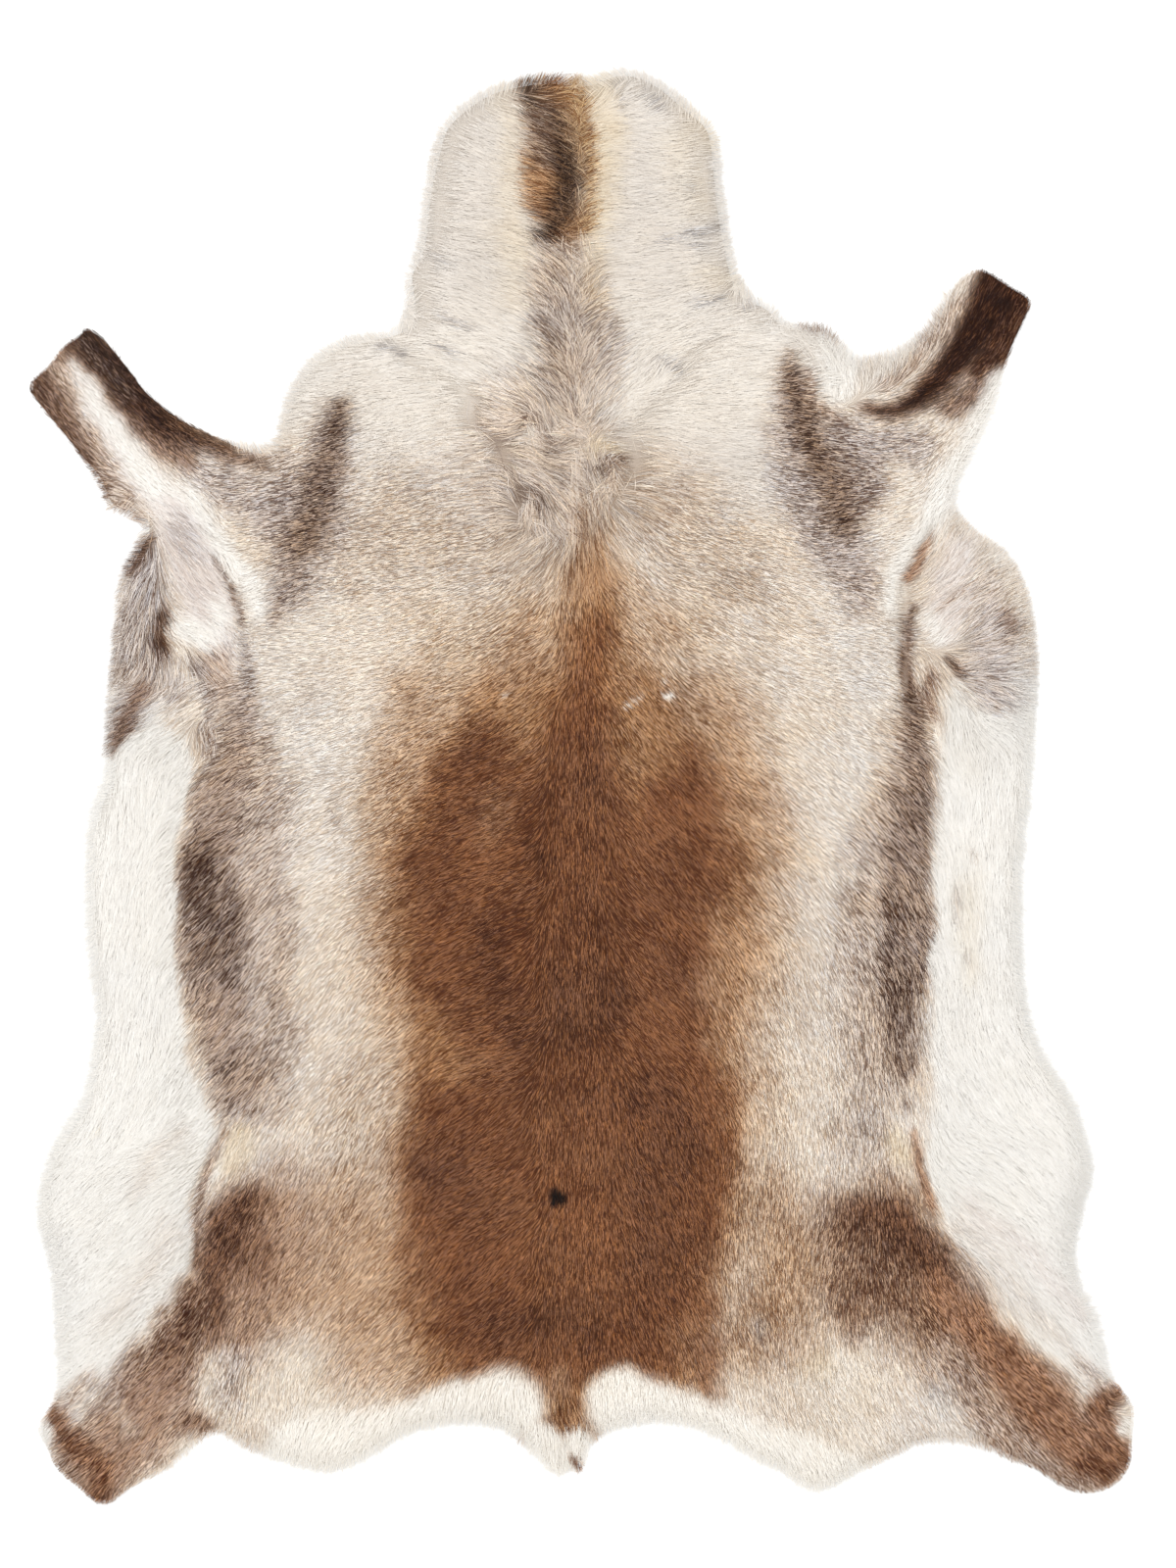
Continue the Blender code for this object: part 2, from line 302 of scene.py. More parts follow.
def soft_noise(x, y, size, seed):
    """Random lattice values from -1 to 1, `size` apart, blended with the smooth step 3t²-2t³."""
    lattice = np.random.default_rng(seed).uniform(-1, 1, (LATTICE, LATTICE))
    across, along = x / size + LATTICE_START, y / size + LATTICE_START
    i, j = np.floor(across).astype(int), np.floor(along).astype(int)
    u, v = across - i, along - j
    u, v = u * u * (3 - 2 * u), v * v * (3 - 2 * v)
    i, j = i % (LATTICE - 1), j % (LATTICE - 1)
    low = lattice[i, j] * (1 - u) + lattice[i + 1, j] * u
    high = lattice[i, j + 1] * (1 - u) + lattice[i + 1, j + 1] * u
    return low * (1 - v) + high * v


def cloudy(x, y, size, seed, octaves=3):
    """A sum of soft noises, each of half the size and half the strength of the one before."""
    layers = [soft_noise(x, y, size / 2**k, seed + k) / 2**k for k in range(octaves)]
    return sum(layers) / sum(1 / 2**k for k in range(octaves))


def smooth_step(low, high, value):
    """0 below `low`, 1 above `high`, and 3t²-2t³ in between."""
    t = np.clip((value - low) / (high - low), 0, 1)
    return t * t * (3 - 2 * t)


clouds = cloudy(grid_x, grid_y, 50 * MM, 1)
print(f"noise runs from {clouds.min():.2f} to {clouds.max():.2f}")

# %% [markdown]
# ## The trimmed edge and the height of the coat
# The solid already has the hide's outline and its folds. Its flat underside gives the edge: an
# edge of a triangle that only one underside triangle uses is part of the outline. Its upper
# triangles give the coat's height, which each map point reads from the triangle it lies in.


# %% Read the solid
TOUCH = 1e-5  # what lies closer than this, in metres, is the same place


def solid_triangles():
    """The solid's triangles as an array of shape (triangles, 3 corners, 3 numbers)."""
    mesh = solid.data
    mesh.calc_loop_triangles()
    corners = np.empty(len(mesh.loop_triangles) * 3, np.int32)
    mesh.loop_triangles.foreach_get("vertices", corners)
    return points_of(mesh)[corners].reshape(-1, 3, 3)


def outline_edges(triangles):
    """The start and end of each edge that just one of the underside's triangles uses."""
    underside = triangles[(triangles[:, :, 2] < TOUCH).all(1)][:, :, :2]
    starts, ends = underside.reshape(-1, 2), np.roll(underside, -1, axis=1).reshape(-1, 2)
    keys = np.round(np.hstack([starts, ends]) / TOUCH).astype(np.int64)
    swapped = (keys[:, :2] > keys[:, 2:]).any(1) & ~(keys[:, 0] < keys[:, 2])
    keys[swapped] = keys[swapped][:, [2, 3, 0, 1]]
    _, first, count = np.unique(keys, axis=0, return_index=True, return_counts=True)
    rim = first[count == 1]
    return starts[rim], ends[rim]


def off_stretch(ax, ay, bx, by, x, y):
    """How far along a straight stretch its nearest point lies, from 0 to 1, and how far each
    place lies from that point in x and in y."""
    across, up = bx - ax, by - ay
    share = np.clip(((x - ax) * across + (y - ay) * up) / (across**2 + up**2), 0, 1)
    return share, x - ax - share * across, y - ay - share * up


def signed_distance(starts, ends):
    """Distance to the nearest outline edge, positive inside. A point is inside where a ray
    towards -X crosses the outline an odd number of times."""
    nearest = np.full(grid_x.shape, np.inf)
    crossings = np.zeros(grid_x.shape, int)
    for (ax, ay), (bx, by) in zip(starts, ends):
        _, off_x, off_y = off_stretch(ax, ay, bx, by, grid_x, grid_y)
        nearest = np.minimum(nearest, off_x**2 + off_y**2)
        if by != ay:
            level = (grid_y >= min(ay, by)) & (grid_y < max(ay, by))
            crossings += level & (grid_x > ax + (grid_y - ay) * (bx - ax) / (by - ay))
    return np.sqrt(nearest) * np.where(crossings % 2 == 1, 1, -1)


def top_of_solid(triangles):
    """The height of the upper triangle above each map point. Every triangle tests one block of
    map points around its corner with its three area shares."""
    upper = triangles[(triangles[:, :, 2] > TOUCH).all(1)]
    a, b, c = upper[:, 0], upper[:, 1], upper[:, 2]
    area = (b[:, 0] - a[:, 0]) * (c[:, 1] - a[:, 1]) - (b[:, 1] - a[:, 1]) * (c[:, 0] - a[:, 0])
    keep = np.abs(area) > 1e-9
    a, b, c, area = a[keep], b[keep], c[keep], area[keep]
    origin = np.array((map_x[0], map_y[0]))
    corner = np.minimum(np.minimum(a, b), c)[:, :2]
    spread = (np.maximum(np.maximum(a, b), c)[:, :2] - corner).max() / MAP_STEP
    block = np.arange(int(spread) + 2)
    first = np.floor((corner - origin) / MAP_STEP).astype(int)
    shape = (len(a), block.size, block.size)
    i = np.broadcast_to(first[:, 0, None, None] + block[None, :, None], shape)
    j = np.broadcast_to(first[:, 1, None, None] + block[None, None, :], shape)
    i, j = np.clip(i, 0, len(map_x) - 1), np.clip(j, 0, len(map_y) - 1)
    x, y = map_x[i], map_y[j]
    ax, ay, az = (a[:, k, None, None] for k in range(3))
    bx, by, bz = (b[:, k, None, None] for k in range(3))
    cx, cy, cz = (c[:, k, None, None] for k in range(3))
    share_b = ((x - ax) * (cy - ay) - (y - ay) * (cx - ax)) / area[:, None, None]
    share_c = ((bx - ax) * (y - ay) - (by - ay) * (x - ax)) / area[:, None, None]
    share_a = 1 - share_b - share_c
    inside = (share_a > -1e-6) & (share_b > -1e-6) & (share_c > -1e-6)
    height = np.zeros(grid_x.shape)
    height[i[inside], j[inside]] = (share_a * az + share_b * bz + share_c * cz)[inside]
    return height


triangles = solid_triangles()
edge_starts, edge_ends = outline_edges(triangles)
inside = Field(signed_distance(edge_starts, edge_ends))
outline_length = np.hypot(*(edge_ends - edge_starts).T).sum()
hide_area = float((inside.values > 0).sum() * MAP_STEP**2)
print(f"outline {outline_length:.2f} m from {len(edge_starts)} edges, area {hide_area:.3f} m2")

# %% The coat's height
EDGE_HEIGHT = 2.5 * MM
HEIGHT_BLUR = 3

# A crease is a soft trough, or a ridge where its depth is negative.
# Columns: name, depth, half width, then the (x, y) of its line, all in millimetres.
CREASES = (
    ("left armpit", 3.5, 3.5, (-328, 206), (-319, 189), (-313, 179), (-309, 166), (-305, 148),
        (-302, 120)),
    ("right armpit", 5, 4, (313, 232), (300, 205), (292, 178), (288, 145), (290, 105), (296, 70)),
    ("left hip overlap", 3, 4, (-318, -313), (-333, -332), (-343, -362), (-349, -400), (-350, -430)),
    ("left haunch rim", 1.2, 5, (-350, -430), (-346, -478), (-340, -520), (-332, -556)),
    ("right hip", 3.5, 5, (303, -335), (304, -368), (318, -398), (340, -425), (362, -455)),
    ("mane parting", 2, 5, (-10, 610), (-6, 570), (-12, 520), (1, 450), (3, 380), (2, 320), (0, 230),
        (0, 150)),
    ("spine", 0.8, 4, (0, 150), (-4, 0), (-6, -200), (-8, -400), (-10, -500)),
    ("nub rim", -2.5, 6, (205, 395), (207, 365), (218, 345), (240, 335)),
    ("nub hollow", 3, 8, (225, 385), (228, 360)),
    ("left leg edge", -1.5, 7, (-358, -420), (-360, -470), (-352, -530)),
)


def from_line(line, x, y):
    """Distance from each place to the nearest stretch of a line of points."""
    nearest = np.full(x.shape, np.inf)
    for (ax, ay), (bx, by) in zip(line, line[1:]):
        _, off_x, off_y = off_stretch(ax, ay, bx, by, x, y)
        nearest = np.minimum(nearest, np.hypot(off_x, off_y))
    return nearest


def coat_height():
    """The solid's top, smoothed, less each crease's bell: depth times exp(-(distance / width)²)."""
    height = np.maximum(top_of_solid(triangles), EDGE_HEIGHT)
    height = blurred(height, HEIGHT_BLUR)
    for _, depth, half_width, *line in CREASES:
        away = from_line(in_metres(line), grid_x, grid_y)
        height -= depth * MM * np.exp(-((away / (half_width * MM)) ** 2))
    return np.maximum(height, EDGE_HEIGHT)


coat = Field(coat_height())
print(f"the coat stands up to {coat.values.max() / MM:.1f} mm high")

# %% [markdown]
# ## How the hair grows
# A tanner knows the parts of a hide by their hair: short and sleek on the legs and back, long and
# soft on the belly, tufted along the mane. Each row below is one such part: how long its hairs
# are, how far they lift off the coat, how strongly they gather in tufts, and how far they fringe
# past the trimmed edge. A part is a row of circles, joined by straight bands and faded at its rim.


# %% Parts of the hide
# Columns: name, length, lift, tuft in per cent, fringe, fade, then one (x, y, radius) for each
# circle. All but the tuft are in millimetres.
GROWTHS = (
    ("back and flanks", 11.5, 0.6, 10, 5, 10, (0, 700, 2000), (0, -700, 2000)),
    ("neck", 26, 0.6, 20, 7, 30, (0, 600, 160), (0, 400, 170)),
    ("left shoulder edge", 24, 1, 25, 8, 20, (-200, 410, 30), (-250, 380, 30), (-280, 310, 20)),
    ("flank bands", 17, 1, 22, 5, 18, (-320, 50, 30), (-320, -270, 30), (-320, -100, 40)),
    ("right flank band", 17, 1, 22, 5, 18, (290, 50, 30), (285, -260, 30)),
    ("mane", 32, 2.2, 55, 8, 15, (-30, 610, 40), (-15, 450, 40), (-10, 300, 60), (-10, 240, 50)),
    ("left belly", 28, 0.7, 25, 9, 12, (-410, 30, 45), (-410, -200, 45), (-430, -360, 80),
        (-450, -480, 50)),
    ("right belly", 28, 0.7, 25, 9, 12, (360, 40, 45), (360, -170, 45), (400, -320, 100),
        (430, -460, 60)),
    ("left elbow", 25, 1.5, 40, 6, 15, (-370, 200, 50), (-380, 80, 50)),
    ("right elbow", 25, 1.5, 40, 6, 15, (350, 200, 50), (360, 80, 50)),
    ("rump border", 19, 1.2, 30, 7, 12, (-280, -600, 30), (-100, -570, 30), (50, -560, 30),
        (200, -610, 40)),
    ("tail", 20, 3, 60, 4, 8, (-12, -560, 20), (-8, -610, 20)),
    ("right shoulder fluff", 24, 3.5, 50, 8, 10, (220, 390, 30), (270, 380, 20), (320, 400, 20),
        (330, 430, 15)),
    ("left foreleg", 10, 0.4, 12, 1.5, 8, (-460, 360, 60), (-400, 320, 45), (-340, 290, 30)),
    ("right foreleg", 10, 0.5, 15, 1.5, 8, (370, 430, 40), (350, 380, 30), (300, 330, 20)),
    ("left hind leg", 12, 0.8, 20, 2.5, 10, (-440, -600, 60), (-380, -530, 40), (-360, -460, 20)),
    ("right hind leg", 12, 0.8, 20, 2.5, 10, (460, -590, 60), (380, -530, 40), (340, -470, 20)),
)


def depth_in_band(line, x, y):
    """How deep each place lies inside a row of circles joined by tapering bands: the local radius
    less the distance from the band's middle line, the largest over the bands."""
    depth = np.full(x.shape, -1.0)
    stops = line if len(line) > 1 else (line[0], (line[0][0] + 1e-4, *line[0][1:]))
    for (ax, ay, ar), (bx, by, br) in zip(stops, stops[1:]):
        share, off_x, off_y = off_stretch(ax, ay, bx, by, x, y)
        depth = np.maximum(depth, ar + share * (br - ar) - np.hypot(off_x, off_y))
    return depth


def growth_map():
    """Lays the parts over each other in order. Each fades from 0 to 1 across its rim."""
    made = np.zeros((*grid_x.shape, 4))
    for _, length, lift, tuft, fringe, fade, *band in GROWTHS:
        depth = depth_in_band(in_metres(band), grid_x, grid_y)
        cover = smooth_step(-fade * MM, fade * MM, depth)
        here = np.array((length * MM, lift * MM, tuft / 100, fringe * MM))
        made += cover[..., None] * (here - made)
    return made


growth = Field(growth_map())
print(f"hair is {growth.values[..., 0].min() / MM:.0f} to {growth.values[..., 0].max() / MM:.0f} mm long")

# %% [markdown]
# ## Which way the hair lies
# Hair lies like combed fur: from the neck towards the tail, down over the flanks, along the legs,
# and inwards to the parting of the mane. Each row is one stroke of the comb at one place. Between
# the strokes the lie is blended as a line, by doubling its angle, so that two strokes that point
# opposite ways along one line don't cancel. Which end of the line the tip lies at is blended apart.


# %% Strokes of the comb
# Columns: x and y in millimetres, the heading of the hair there in degrees from +X turning to
# +Y, and the stroke's reach in millimetres.
NECK_STROKES = (
    (-120, 610, -25, 30), (-130, 530, -10, 40), (-140, 460, -10, 30), (-150, 420, -15, 25),
    (-90, 570, -20, 40), (-90, 500, -10, 40), (-90, 450, -20, 40), (-70, 400, -30, 40),
    (-120, 400, -20, 30), (-80, 620, -35, 20), (30, 635, 230, 20), (80, 620, 210, 20),
    (120, 580, 190, 30), (130, 500, 185, 30), (140, 440, 190, 30), (70, 580, 185, 40),
    (80, 510, 185, 40), (70, 460, 185, 40), (90, 420, 195, 40), (60, 390, 215, 30),
)
MANE_STROKES = (
    (-45, 625, -30, 20), (-42, 580, -20, 20), (-42, 540, -20, 20), (-42, 500, -30, 20),
    (-24, 610, -55, 12), (-22, 570, -50, 12), (-22, 530, -50, 12), (-10, 620, -80, 12),
    (-10, 580, -88, 12), (-10, 540, -88, 12), (-12, 500, -80, 12), (0, 610, -115, 12),
    (2, 570, -120, 12), (2, 530, -120, 12), (16, 600, -150, 15), (18, 560, -150, 15),
    (18, 520, -150, 15), (-38, 460, -45, 20), (-38, 410, -45, 20), (-38, 360, -42, 20),
    (-16, 460, -72, 15), (-14, 410, -75, 15), (-12, 360, -72, 15), (4, 460, -105, 15),
    (6, 410, -105, 15), (8, 360, -105, 15), (22, 460, -132, 15), (26, 410, -132, 20),
    (30, 360, -130, 20), (-80, 340, -25, 20), (-50, 300, -35, 20), (10, 300, -90, 15),
    (28, 290, -150, 12), (-35, 250, -35, 15), (0, 250, -90, 12),
)
SHOULDER_STROKES = (
    (-190, 360, 190, 40), (-130, 340, 190, 30), (-100, 280, 185, 30), (-230, 300, 195, 40),
    (-280, 260, 190, 40), (-260, 200, 195, 40), (-250, 380, 160, 20), (-210, 410, 110, 20),
    (-180, 230, 190, 40), (130, 370, 5, 40), (100, 310, -10, 30), (180, 310, -5, 30),
    (200, 370, 10, 20), (230, 300, -10, 30), (240, 250, 5, 30), (270, 310, 5, 20),
    (160, 250, -10, 30), (280, 230, 15, 20), (215, 380, 120, 15), (230, 400, 100, 15),
    (235, 360, 95, 15),
)
FORELEG_STROKES = (
    (-460, 370, 130, 30), (-420, 330, 135, 30), (-370, 290, 140, 30), (-360, 325, 150, 20),
    (-320, 305, 165, 20), (-330, 240, 130, 20), (-315, 190, 120, 15), (-420, 260, 165, 15),
    (360, 430, 65, 30), (340, 380, 50, 25), (300, 345, 25, 20), (270, 335, 10, 15),
    (360, 340, 55, 20), (330, 270, 60, 20), (305, 230, 65, 15), (270, 375, 85, 15),
    (300, 390, 75, 15), (325, 420, 80, 15),
)
ELBOW_STROKES = (
    (-360, 200, -50, 20), (-340, 170, -35, 20), (-330, 130, -50, 20), (-395, 200, -110, 20),
    (-400, 140, -110, 20), (-370, 120, -100, 15), (-400, 70, 205, 20), (-360, 70, 215, 20),
    (-335, 50, -80, 15), (330, 200, 55, 20), (325, 150, 40, 20), (310, 100, -70, 15),
    (370, 170, 35, 20), (380, 120, 10, 20), (370, 70, -30, 20), (350, 220, 45, 20),
    (330, 60, -90, 15), (340, 110, -35, 12),
)
BACK_STROKES = (
    (0, 200, -90, 20), (-1, 160, -90, 20), (-2, 120, -90, 20), (-3, 60, -90, 25),
    (-4, 0, -90, 25), (-5, -60, -90, 25), (-6, -120, -90, 25), (-7, -180, -90, 25),
    (-8, -240, -90, 25), (-8, -300, -90, 25), (-9, -360, -90, 25), (-9, -420, -90, 25),
    (-10, -480, -90, 25), (-40, 200, 225, 30), (-100, 200, 195, 30), (-50, 100, 215, 40),
    (-120, 120, 200, 40), (-80, 0, 205, 40), (-160, 0, 210, 40), (-80, -100, 205, 40),
    (-160, -100, 210, 40), (-80, -220, 205, 40), (-160, -220, 220, 40), (-80, -360, 210, 40),
    (-160, -360, 230, 40), (-90, -470, 225, 40), (-170, -480, 225, 40), (40, 200, -45, 30),
    (100, 200, -20, 30), (50, 100, -50, 40), (120, 120, -30, 40), (70, 0, -50, 40),
    (140, 0, -40, 40), (70, -100, -50, 40), (150, -100, -50, 40), (70, -220, -50, 40),
    (150, -220, -65, 40), (80, -360, -70, 40), (150, -360, -90, 40), (80, -480, -70, 40),
    (150, -480, -80, 40),
)
FLANK_STROKES = (
    (-230, 120, 185, 40), (-240, 40, 195, 40), (-300, 50, 200, 30), (-280, -30, 220, 40),
    (-340, -50, 220, 30), (-230, -60, 210, 40), (-330, -130, 230, 40), (-260, -150, 225, 40),
    (-330, -220, 225, 30), (-270, -250, 230, 40), (-220, -220, 230, 40), (-220, -320, 240, 40),
    (230, 120, -15, 40), (220, 40, -35, 40), (280, 50, -25, 30), (220, -40, -40, 40),
    (290, -40, -45, 30), (220, -110, -50, 40), (280, -120, -60, 30), (220, -180, -70, 40),
    (280, -200, -80, 30), (220, -270, -80, 40), (280, -270, -80, 30), (310, 20, -60, 15),
)
BELLY_STROKES = (
    (-410, 0, 265, 30), (-410, -100, 260, 40), (-400, -200, 260, 40), (-420, -280, 245, 40),
    (-420, -360, 220, 40), (-370, -330, 210, 30), (-420, -440, 220, 40), (-450, -510, 220, 30),
    (-380, -410, 220, 30), (360, 0, -90, 30), (360, -80, -90, 40), (360, -170, -80, 40),
    (380, -240, -55, 40), (420, -300, -45, 40), (360, -310, -30, 30), (420, -370, -45, 40),
    (360, -380, -35, 30), (420, -450, -50, 40), (450, -510, -50, 30),
)
HIND_STROKES = (
    (-300, -340, 245, 30), (-310, -420, 245, 30), (-240, -380, 240, 30), (-320, -500, 255, 25),
    (-260, -480, 240, 30), (-270, -550, 260, 30), (-220, -540, 240, 30), (-370, -480, 230, 25),
    (-400, -550, 230, 30), (-450, -590, 220, 30), (-430, -620, 230, 20), (-370, -590, 225, 20),
    (-480, -570, 225, 15), (260, -340, -85, 30), (230, -410, -100, 30), (290, -420, -80, 30),
    (270, -490, -80, 30), (210, -480, -90, 30), (240, -550, -65, 30), (310, -540, -60, 30),
    (330, -460, -60, 25), (370, -510, -50, 30), (410, -560, -45, 30), (460, -590, -40, 30),
    (360, -580, -50, 20), (485, -550, 30, 12),
)
RUMP_STROKES = (
    (-250, -600, 260, 20), (-170, -575, 250, 20), (-100, -550, 260, 20), (-50, -550, 270, 20),
    (-12, -550, -85, 12), (-8, -600, -80, 12), (40, -550, -90, 20), (100, -565, -75, 20),
    (170, -590, -60, 20), (220, -610, -70, 20),
)
STROKES = (
    *NECK_STROKES, *MANE_STROKES, *SHOULDER_STROKES, *FORELEG_STROKES, *ELBOW_STROKES,
    *BACK_STROKES, *FLANK_STROKES, *BELLY_STROKES, *HIND_STROKES, *RUMP_STROKES,
)


# %% Blend the strokes into one field
# A cowlick turns the lie at its middle, and less and less around it.
# Columns: x and y in millimetres, the turn in degrees, and the reach in millimetres.
COWLICKS = (
    (-30, 305, 80, 14), (-45, 335, -55, 12), (20, 290, 90, 14), (-45, 258, -75, 14),
    (-70, 320, 50, 16), (-35, 625, 60, 18), (80, 380, 40, 12), (-25, 440, -35, 14),
    (-372, 140, 70, 16), (340, 108, 60, 14),
)
NEAR_FIELD = 0.15  # keeps a stroke's weight finite at its own place
SURE_BLUR = 3


def reaches_off(x, y, reach):
    """Each map point's squared distance from a place, counted in squared reaches."""
    return ((grid_x - x / 1000) ** 2 + (grid_y - y / 1000) ** 2) / (reach / 1000) ** 2


def lie_map():
    """A weighted mean of the strokes' doubled angles gives the line, one of the strokes' own
    directions gives the sense. A stroke's weight is 1 / (distance² / reach² + near field)². The
    third channel is how sure the sense is, from 0, where strokes meet head on, to 1."""
    line = np.zeros((2, *grid_x.shape))
    sense = np.zeros((2, *grid_x.shape))
    total = np.zeros(grid_x.shape)
    for x, y, heading, reach in STROKES:
        weight = 1 / (reaches_off(x, y, reach) + NEAR_FIELD) ** 2
        angle = np.radians(heading)
        line += weight * np.array((np.cos(2 * angle), np.sin(2 * angle)))[:, None, None]
        sense += weight * np.array((np.cos(angle), np.sin(angle)))[:, None, None]
        total += weight
    heading = np.arctan2(line[1], line[0]) / 2
    agree = np.cos(heading) * sense[0] + np.sin(heading) * sense[1]
    heading = np.where(agree < 0, heading + np.pi, heading)
    sure = blurred(np.abs(agree) / np.maximum(total, 1e-9), SURE_BLUR)
    for x, y, turn, reach in COWLICKS:
        heading += np.radians(turn) * np.exp(-reaches_off(x, y, reach))
    return np.stack([np.cos(heading), np.sin(heading), sure], axis=-1)


lie = Field(lie_map())
print(f"{len(STROKES)} strokes and {len(COWLICKS)} cowlicks set the lie")

# %% [markdown]
# ## Markings
# A reindeer's coat runs from near black through brown and gold to white, and most places mix two
# kinds of hair, a light one and a dark one. So a shade here is a pair of colours, and a patch says
# what share of its hairs are dark. Patches are painted over each other in order, like a watercolour:
# wide pale grounds first, then the bands, then single spots. Their borders are pushed about by
# noise, because a patch of fur never ends in a clean line.

# %% Shades, light hair and dark hair
SHADES = {
    "belly white": ((239, 236, 230), (227, 223, 216)),
    "clean white": ((247, 244, 238), (236, 231, 223)),
    "rump white": ((247, 242, 233), (235, 228, 216)),
    "pink white": ((237, 230, 225), (212, 199, 191)),
    "neck": ((226, 218, 208), (206, 197, 187)),
    "cream": ((234, 227, 217), (214, 205, 194)),
    "gold cream": ((230, 214, 186), (206, 184, 152)),
    "blue tips": ((220, 213, 206), (112, 107, 110)),
    "mane black": ((146, 112, 86), (22, 11, 6)),
    "mane rust": ((206, 160, 116), (96, 54, 26)),
    "mane gold": ((218, 184, 136), (110, 62, 26)),
    "mane grey": ((224, 207, 190), (88, 64, 51)),
    "fawn": ((225, 206, 184), (138, 106, 80)),
    "pale fawn": ((227, 215, 201), (156, 132, 113)),
    "dun": ((208, 173, 140), (106, 65, 37)),
    "saddle": ((157, 107, 73), (80, 43, 24)),
    "saddle dark": ((132, 88, 63), (44, 20, 9)),
    "saddle gold": ((190, 144, 103), (92, 51, 26)),
    "side grey": ((237, 227, 214), (196, 177, 158)),
    "pale side": ((234, 228, 220), (190, 176, 164)),
    "flank brown": ((200, 177, 159), (52, 28, 17)),
    "flank grey": ((219, 201, 184), (90, 63, 48)),
    "shoulder brown": ((178, 152, 132), (46, 25, 15)),
    "shoulder grey": ((214, 200, 190), (84, 60, 49)),
    "elbow": ((214, 202, 194), (78, 54, 42)),
    "foreleg black": ((112, 78, 60), (24, 11, 6)),
    "foreleg rust": ((124, 80, 56), (34, 15, 7)),
    "foreleg brown": ((160, 127, 106), (60, 36, 24)),
    "haunch dark": ((150, 108, 82), (42, 18, 8)),
    "haunch": ((192, 156, 127), (68, 35, 19)),
    "leg tan": ((211, 187, 167), (86, 53, 35)),
    "leg brown": ((184, 149, 124), (60, 30, 17)),
    "leg rust": ((192, 145, 112), (68, 33, 16)),
    "pale haunch": ((235, 225, 211), (198, 180, 160)),
    "tail brown": ((178, 138, 106), (92, 54, 32)),
    "tail rust": ((156, 98, 62), (66, 33, 17)),
    "scar": ((248, 246, 241), (240, 236, 230)),
    "hole": ((60, 40, 30), (14, 7, 4)),
}

# %% The grounds: neck, shoulders, back, sides and belly
# Columns: shade, share of dark hairs in per cent, cover in per cent, width of the fade, then one
# (x, y, radius) for each circle of a band, in millimetres. All the patch tables have them.
GROUND_PATCHES = (
    ("side grey", 35, 100, 50, (0, 700, 2000), (0, -700, 2000)),
    ("neck", 35, 100, 50, (0, 640, 200), (0, 420, 240)),
    ("cream", 40, 100, 30, (-290, 370, 50), (-140, 360, 60), (0, 380, 50), (130, 370, 60),
        (190, 400, 30)),
    ("pale fawn", 44, 100, 40, (-200, 210, 45), (-80, 250, 70), (0, 260, 60), (80, 240, 50),
        (140, 180, 35)),
    ("side grey", 36, 100, 30, (-220, 100, 40), (-220, -250, 50)),
    ("side grey", 45, 100, 30, (210, 100, 30), (200, -250, 40)),
    ("fawn", 28, 90, 40, (0, 220, 20), (0, 160, 50), (0, 100, 100), (-6, 20, 175), (-6, -200, 190),
        (-6, -340, 180)),
    ("dun", 28, 100, 35, (6, 205, 10), (10, 165, 22), (4, 115, 30), (-8, 60, 66), (-6, -10, 142),
        (-4, -50, 170), (-4, -120, 180), (-6, -220, 162), (-18, -340, 152), (-22, -460, 148)),
    ("dun", 36, 80, 30, (-148, 80, 30), (-160, 20, 30)),
    ("dun", 34, 80, 30, (124, 70, 22), (144, 20, 28), (168, -24, 18)),
    ("dun", 34, 75, 30, (-46, 150, 16), (-62, 120, 20)),
    ("dun", 34, 60, 22, (62, 164, 12), (72, 146, 12)),
    ("side grey", 30, 50, 22, (125, 205, 16)),
    ("side grey", 30, 50, 16, (38, 240, 8)),
    ("side grey", 30, 45, 22, (-150, 240, 14)),
    ("saddle gold", 42, 90, 28, (6, 185, 6), (10, 145, 18), (6, 100, 26), (-8, 40, 64), (-12, -20, 124),
        (-10, -100, 157), (-8, -180, 145), (-2, -240, 136), (-14, -340, 144), (-20, -440, 134),
        (-20, -485, 120)),
    ("saddle", 44, 100, 20, (6, 140, 4), (2, 95, 14), (-6, 60, 28), (-8, 0, 42), (-8, -100, 60)),
    ("saddle", 48, 100, 22, (-88, 30, 22), (-95, -5, 43), (-95, -80, 64), (-88, -160, 58),
        (-74, -240, 52), (-90, -320, 62), (-98, -420, 64), (-80, -480, 52)),
    ("saddle", 42, 100, 22, (100, 15, 14), (96, -20, 40), (88, -80, 56)),
    ("saddle", 48, 100, 22, (76, -120, 52), (70, -180, 54), (68, -280, 62), (62, -380, 66),
        (52, -440, 58), (40, -485, 52)),
    ("saddle", 60, 100, 22, (-12, -50, 58), (-14, -200, 62), (0, -300, 64)),
    ("saddle", 42, 100, 20, (-10, -340, 60), (-18, -480, 60)),
    ("dun", 36, 60, 14, (4, 228, 6), (10, 200, 16)),
    ("pale side", 24, 90, 30, (245, 140, 20), (250, 30, 24), (245, -60, 16)),
    ("pale side", 42, 80, 30, (-260, 170, 30), (-255, 20, 30)),
    ("belly white", 35, 100, 8, (-420, 50, 45), (-425, -200, 60), (-440, -360, 90), (-500, -500, 95)),
    ("belly white", 40, 100, 8, (375, 60, 50), (375, -170, 62), (410, -310, 100), (490, -440, 105)),
)

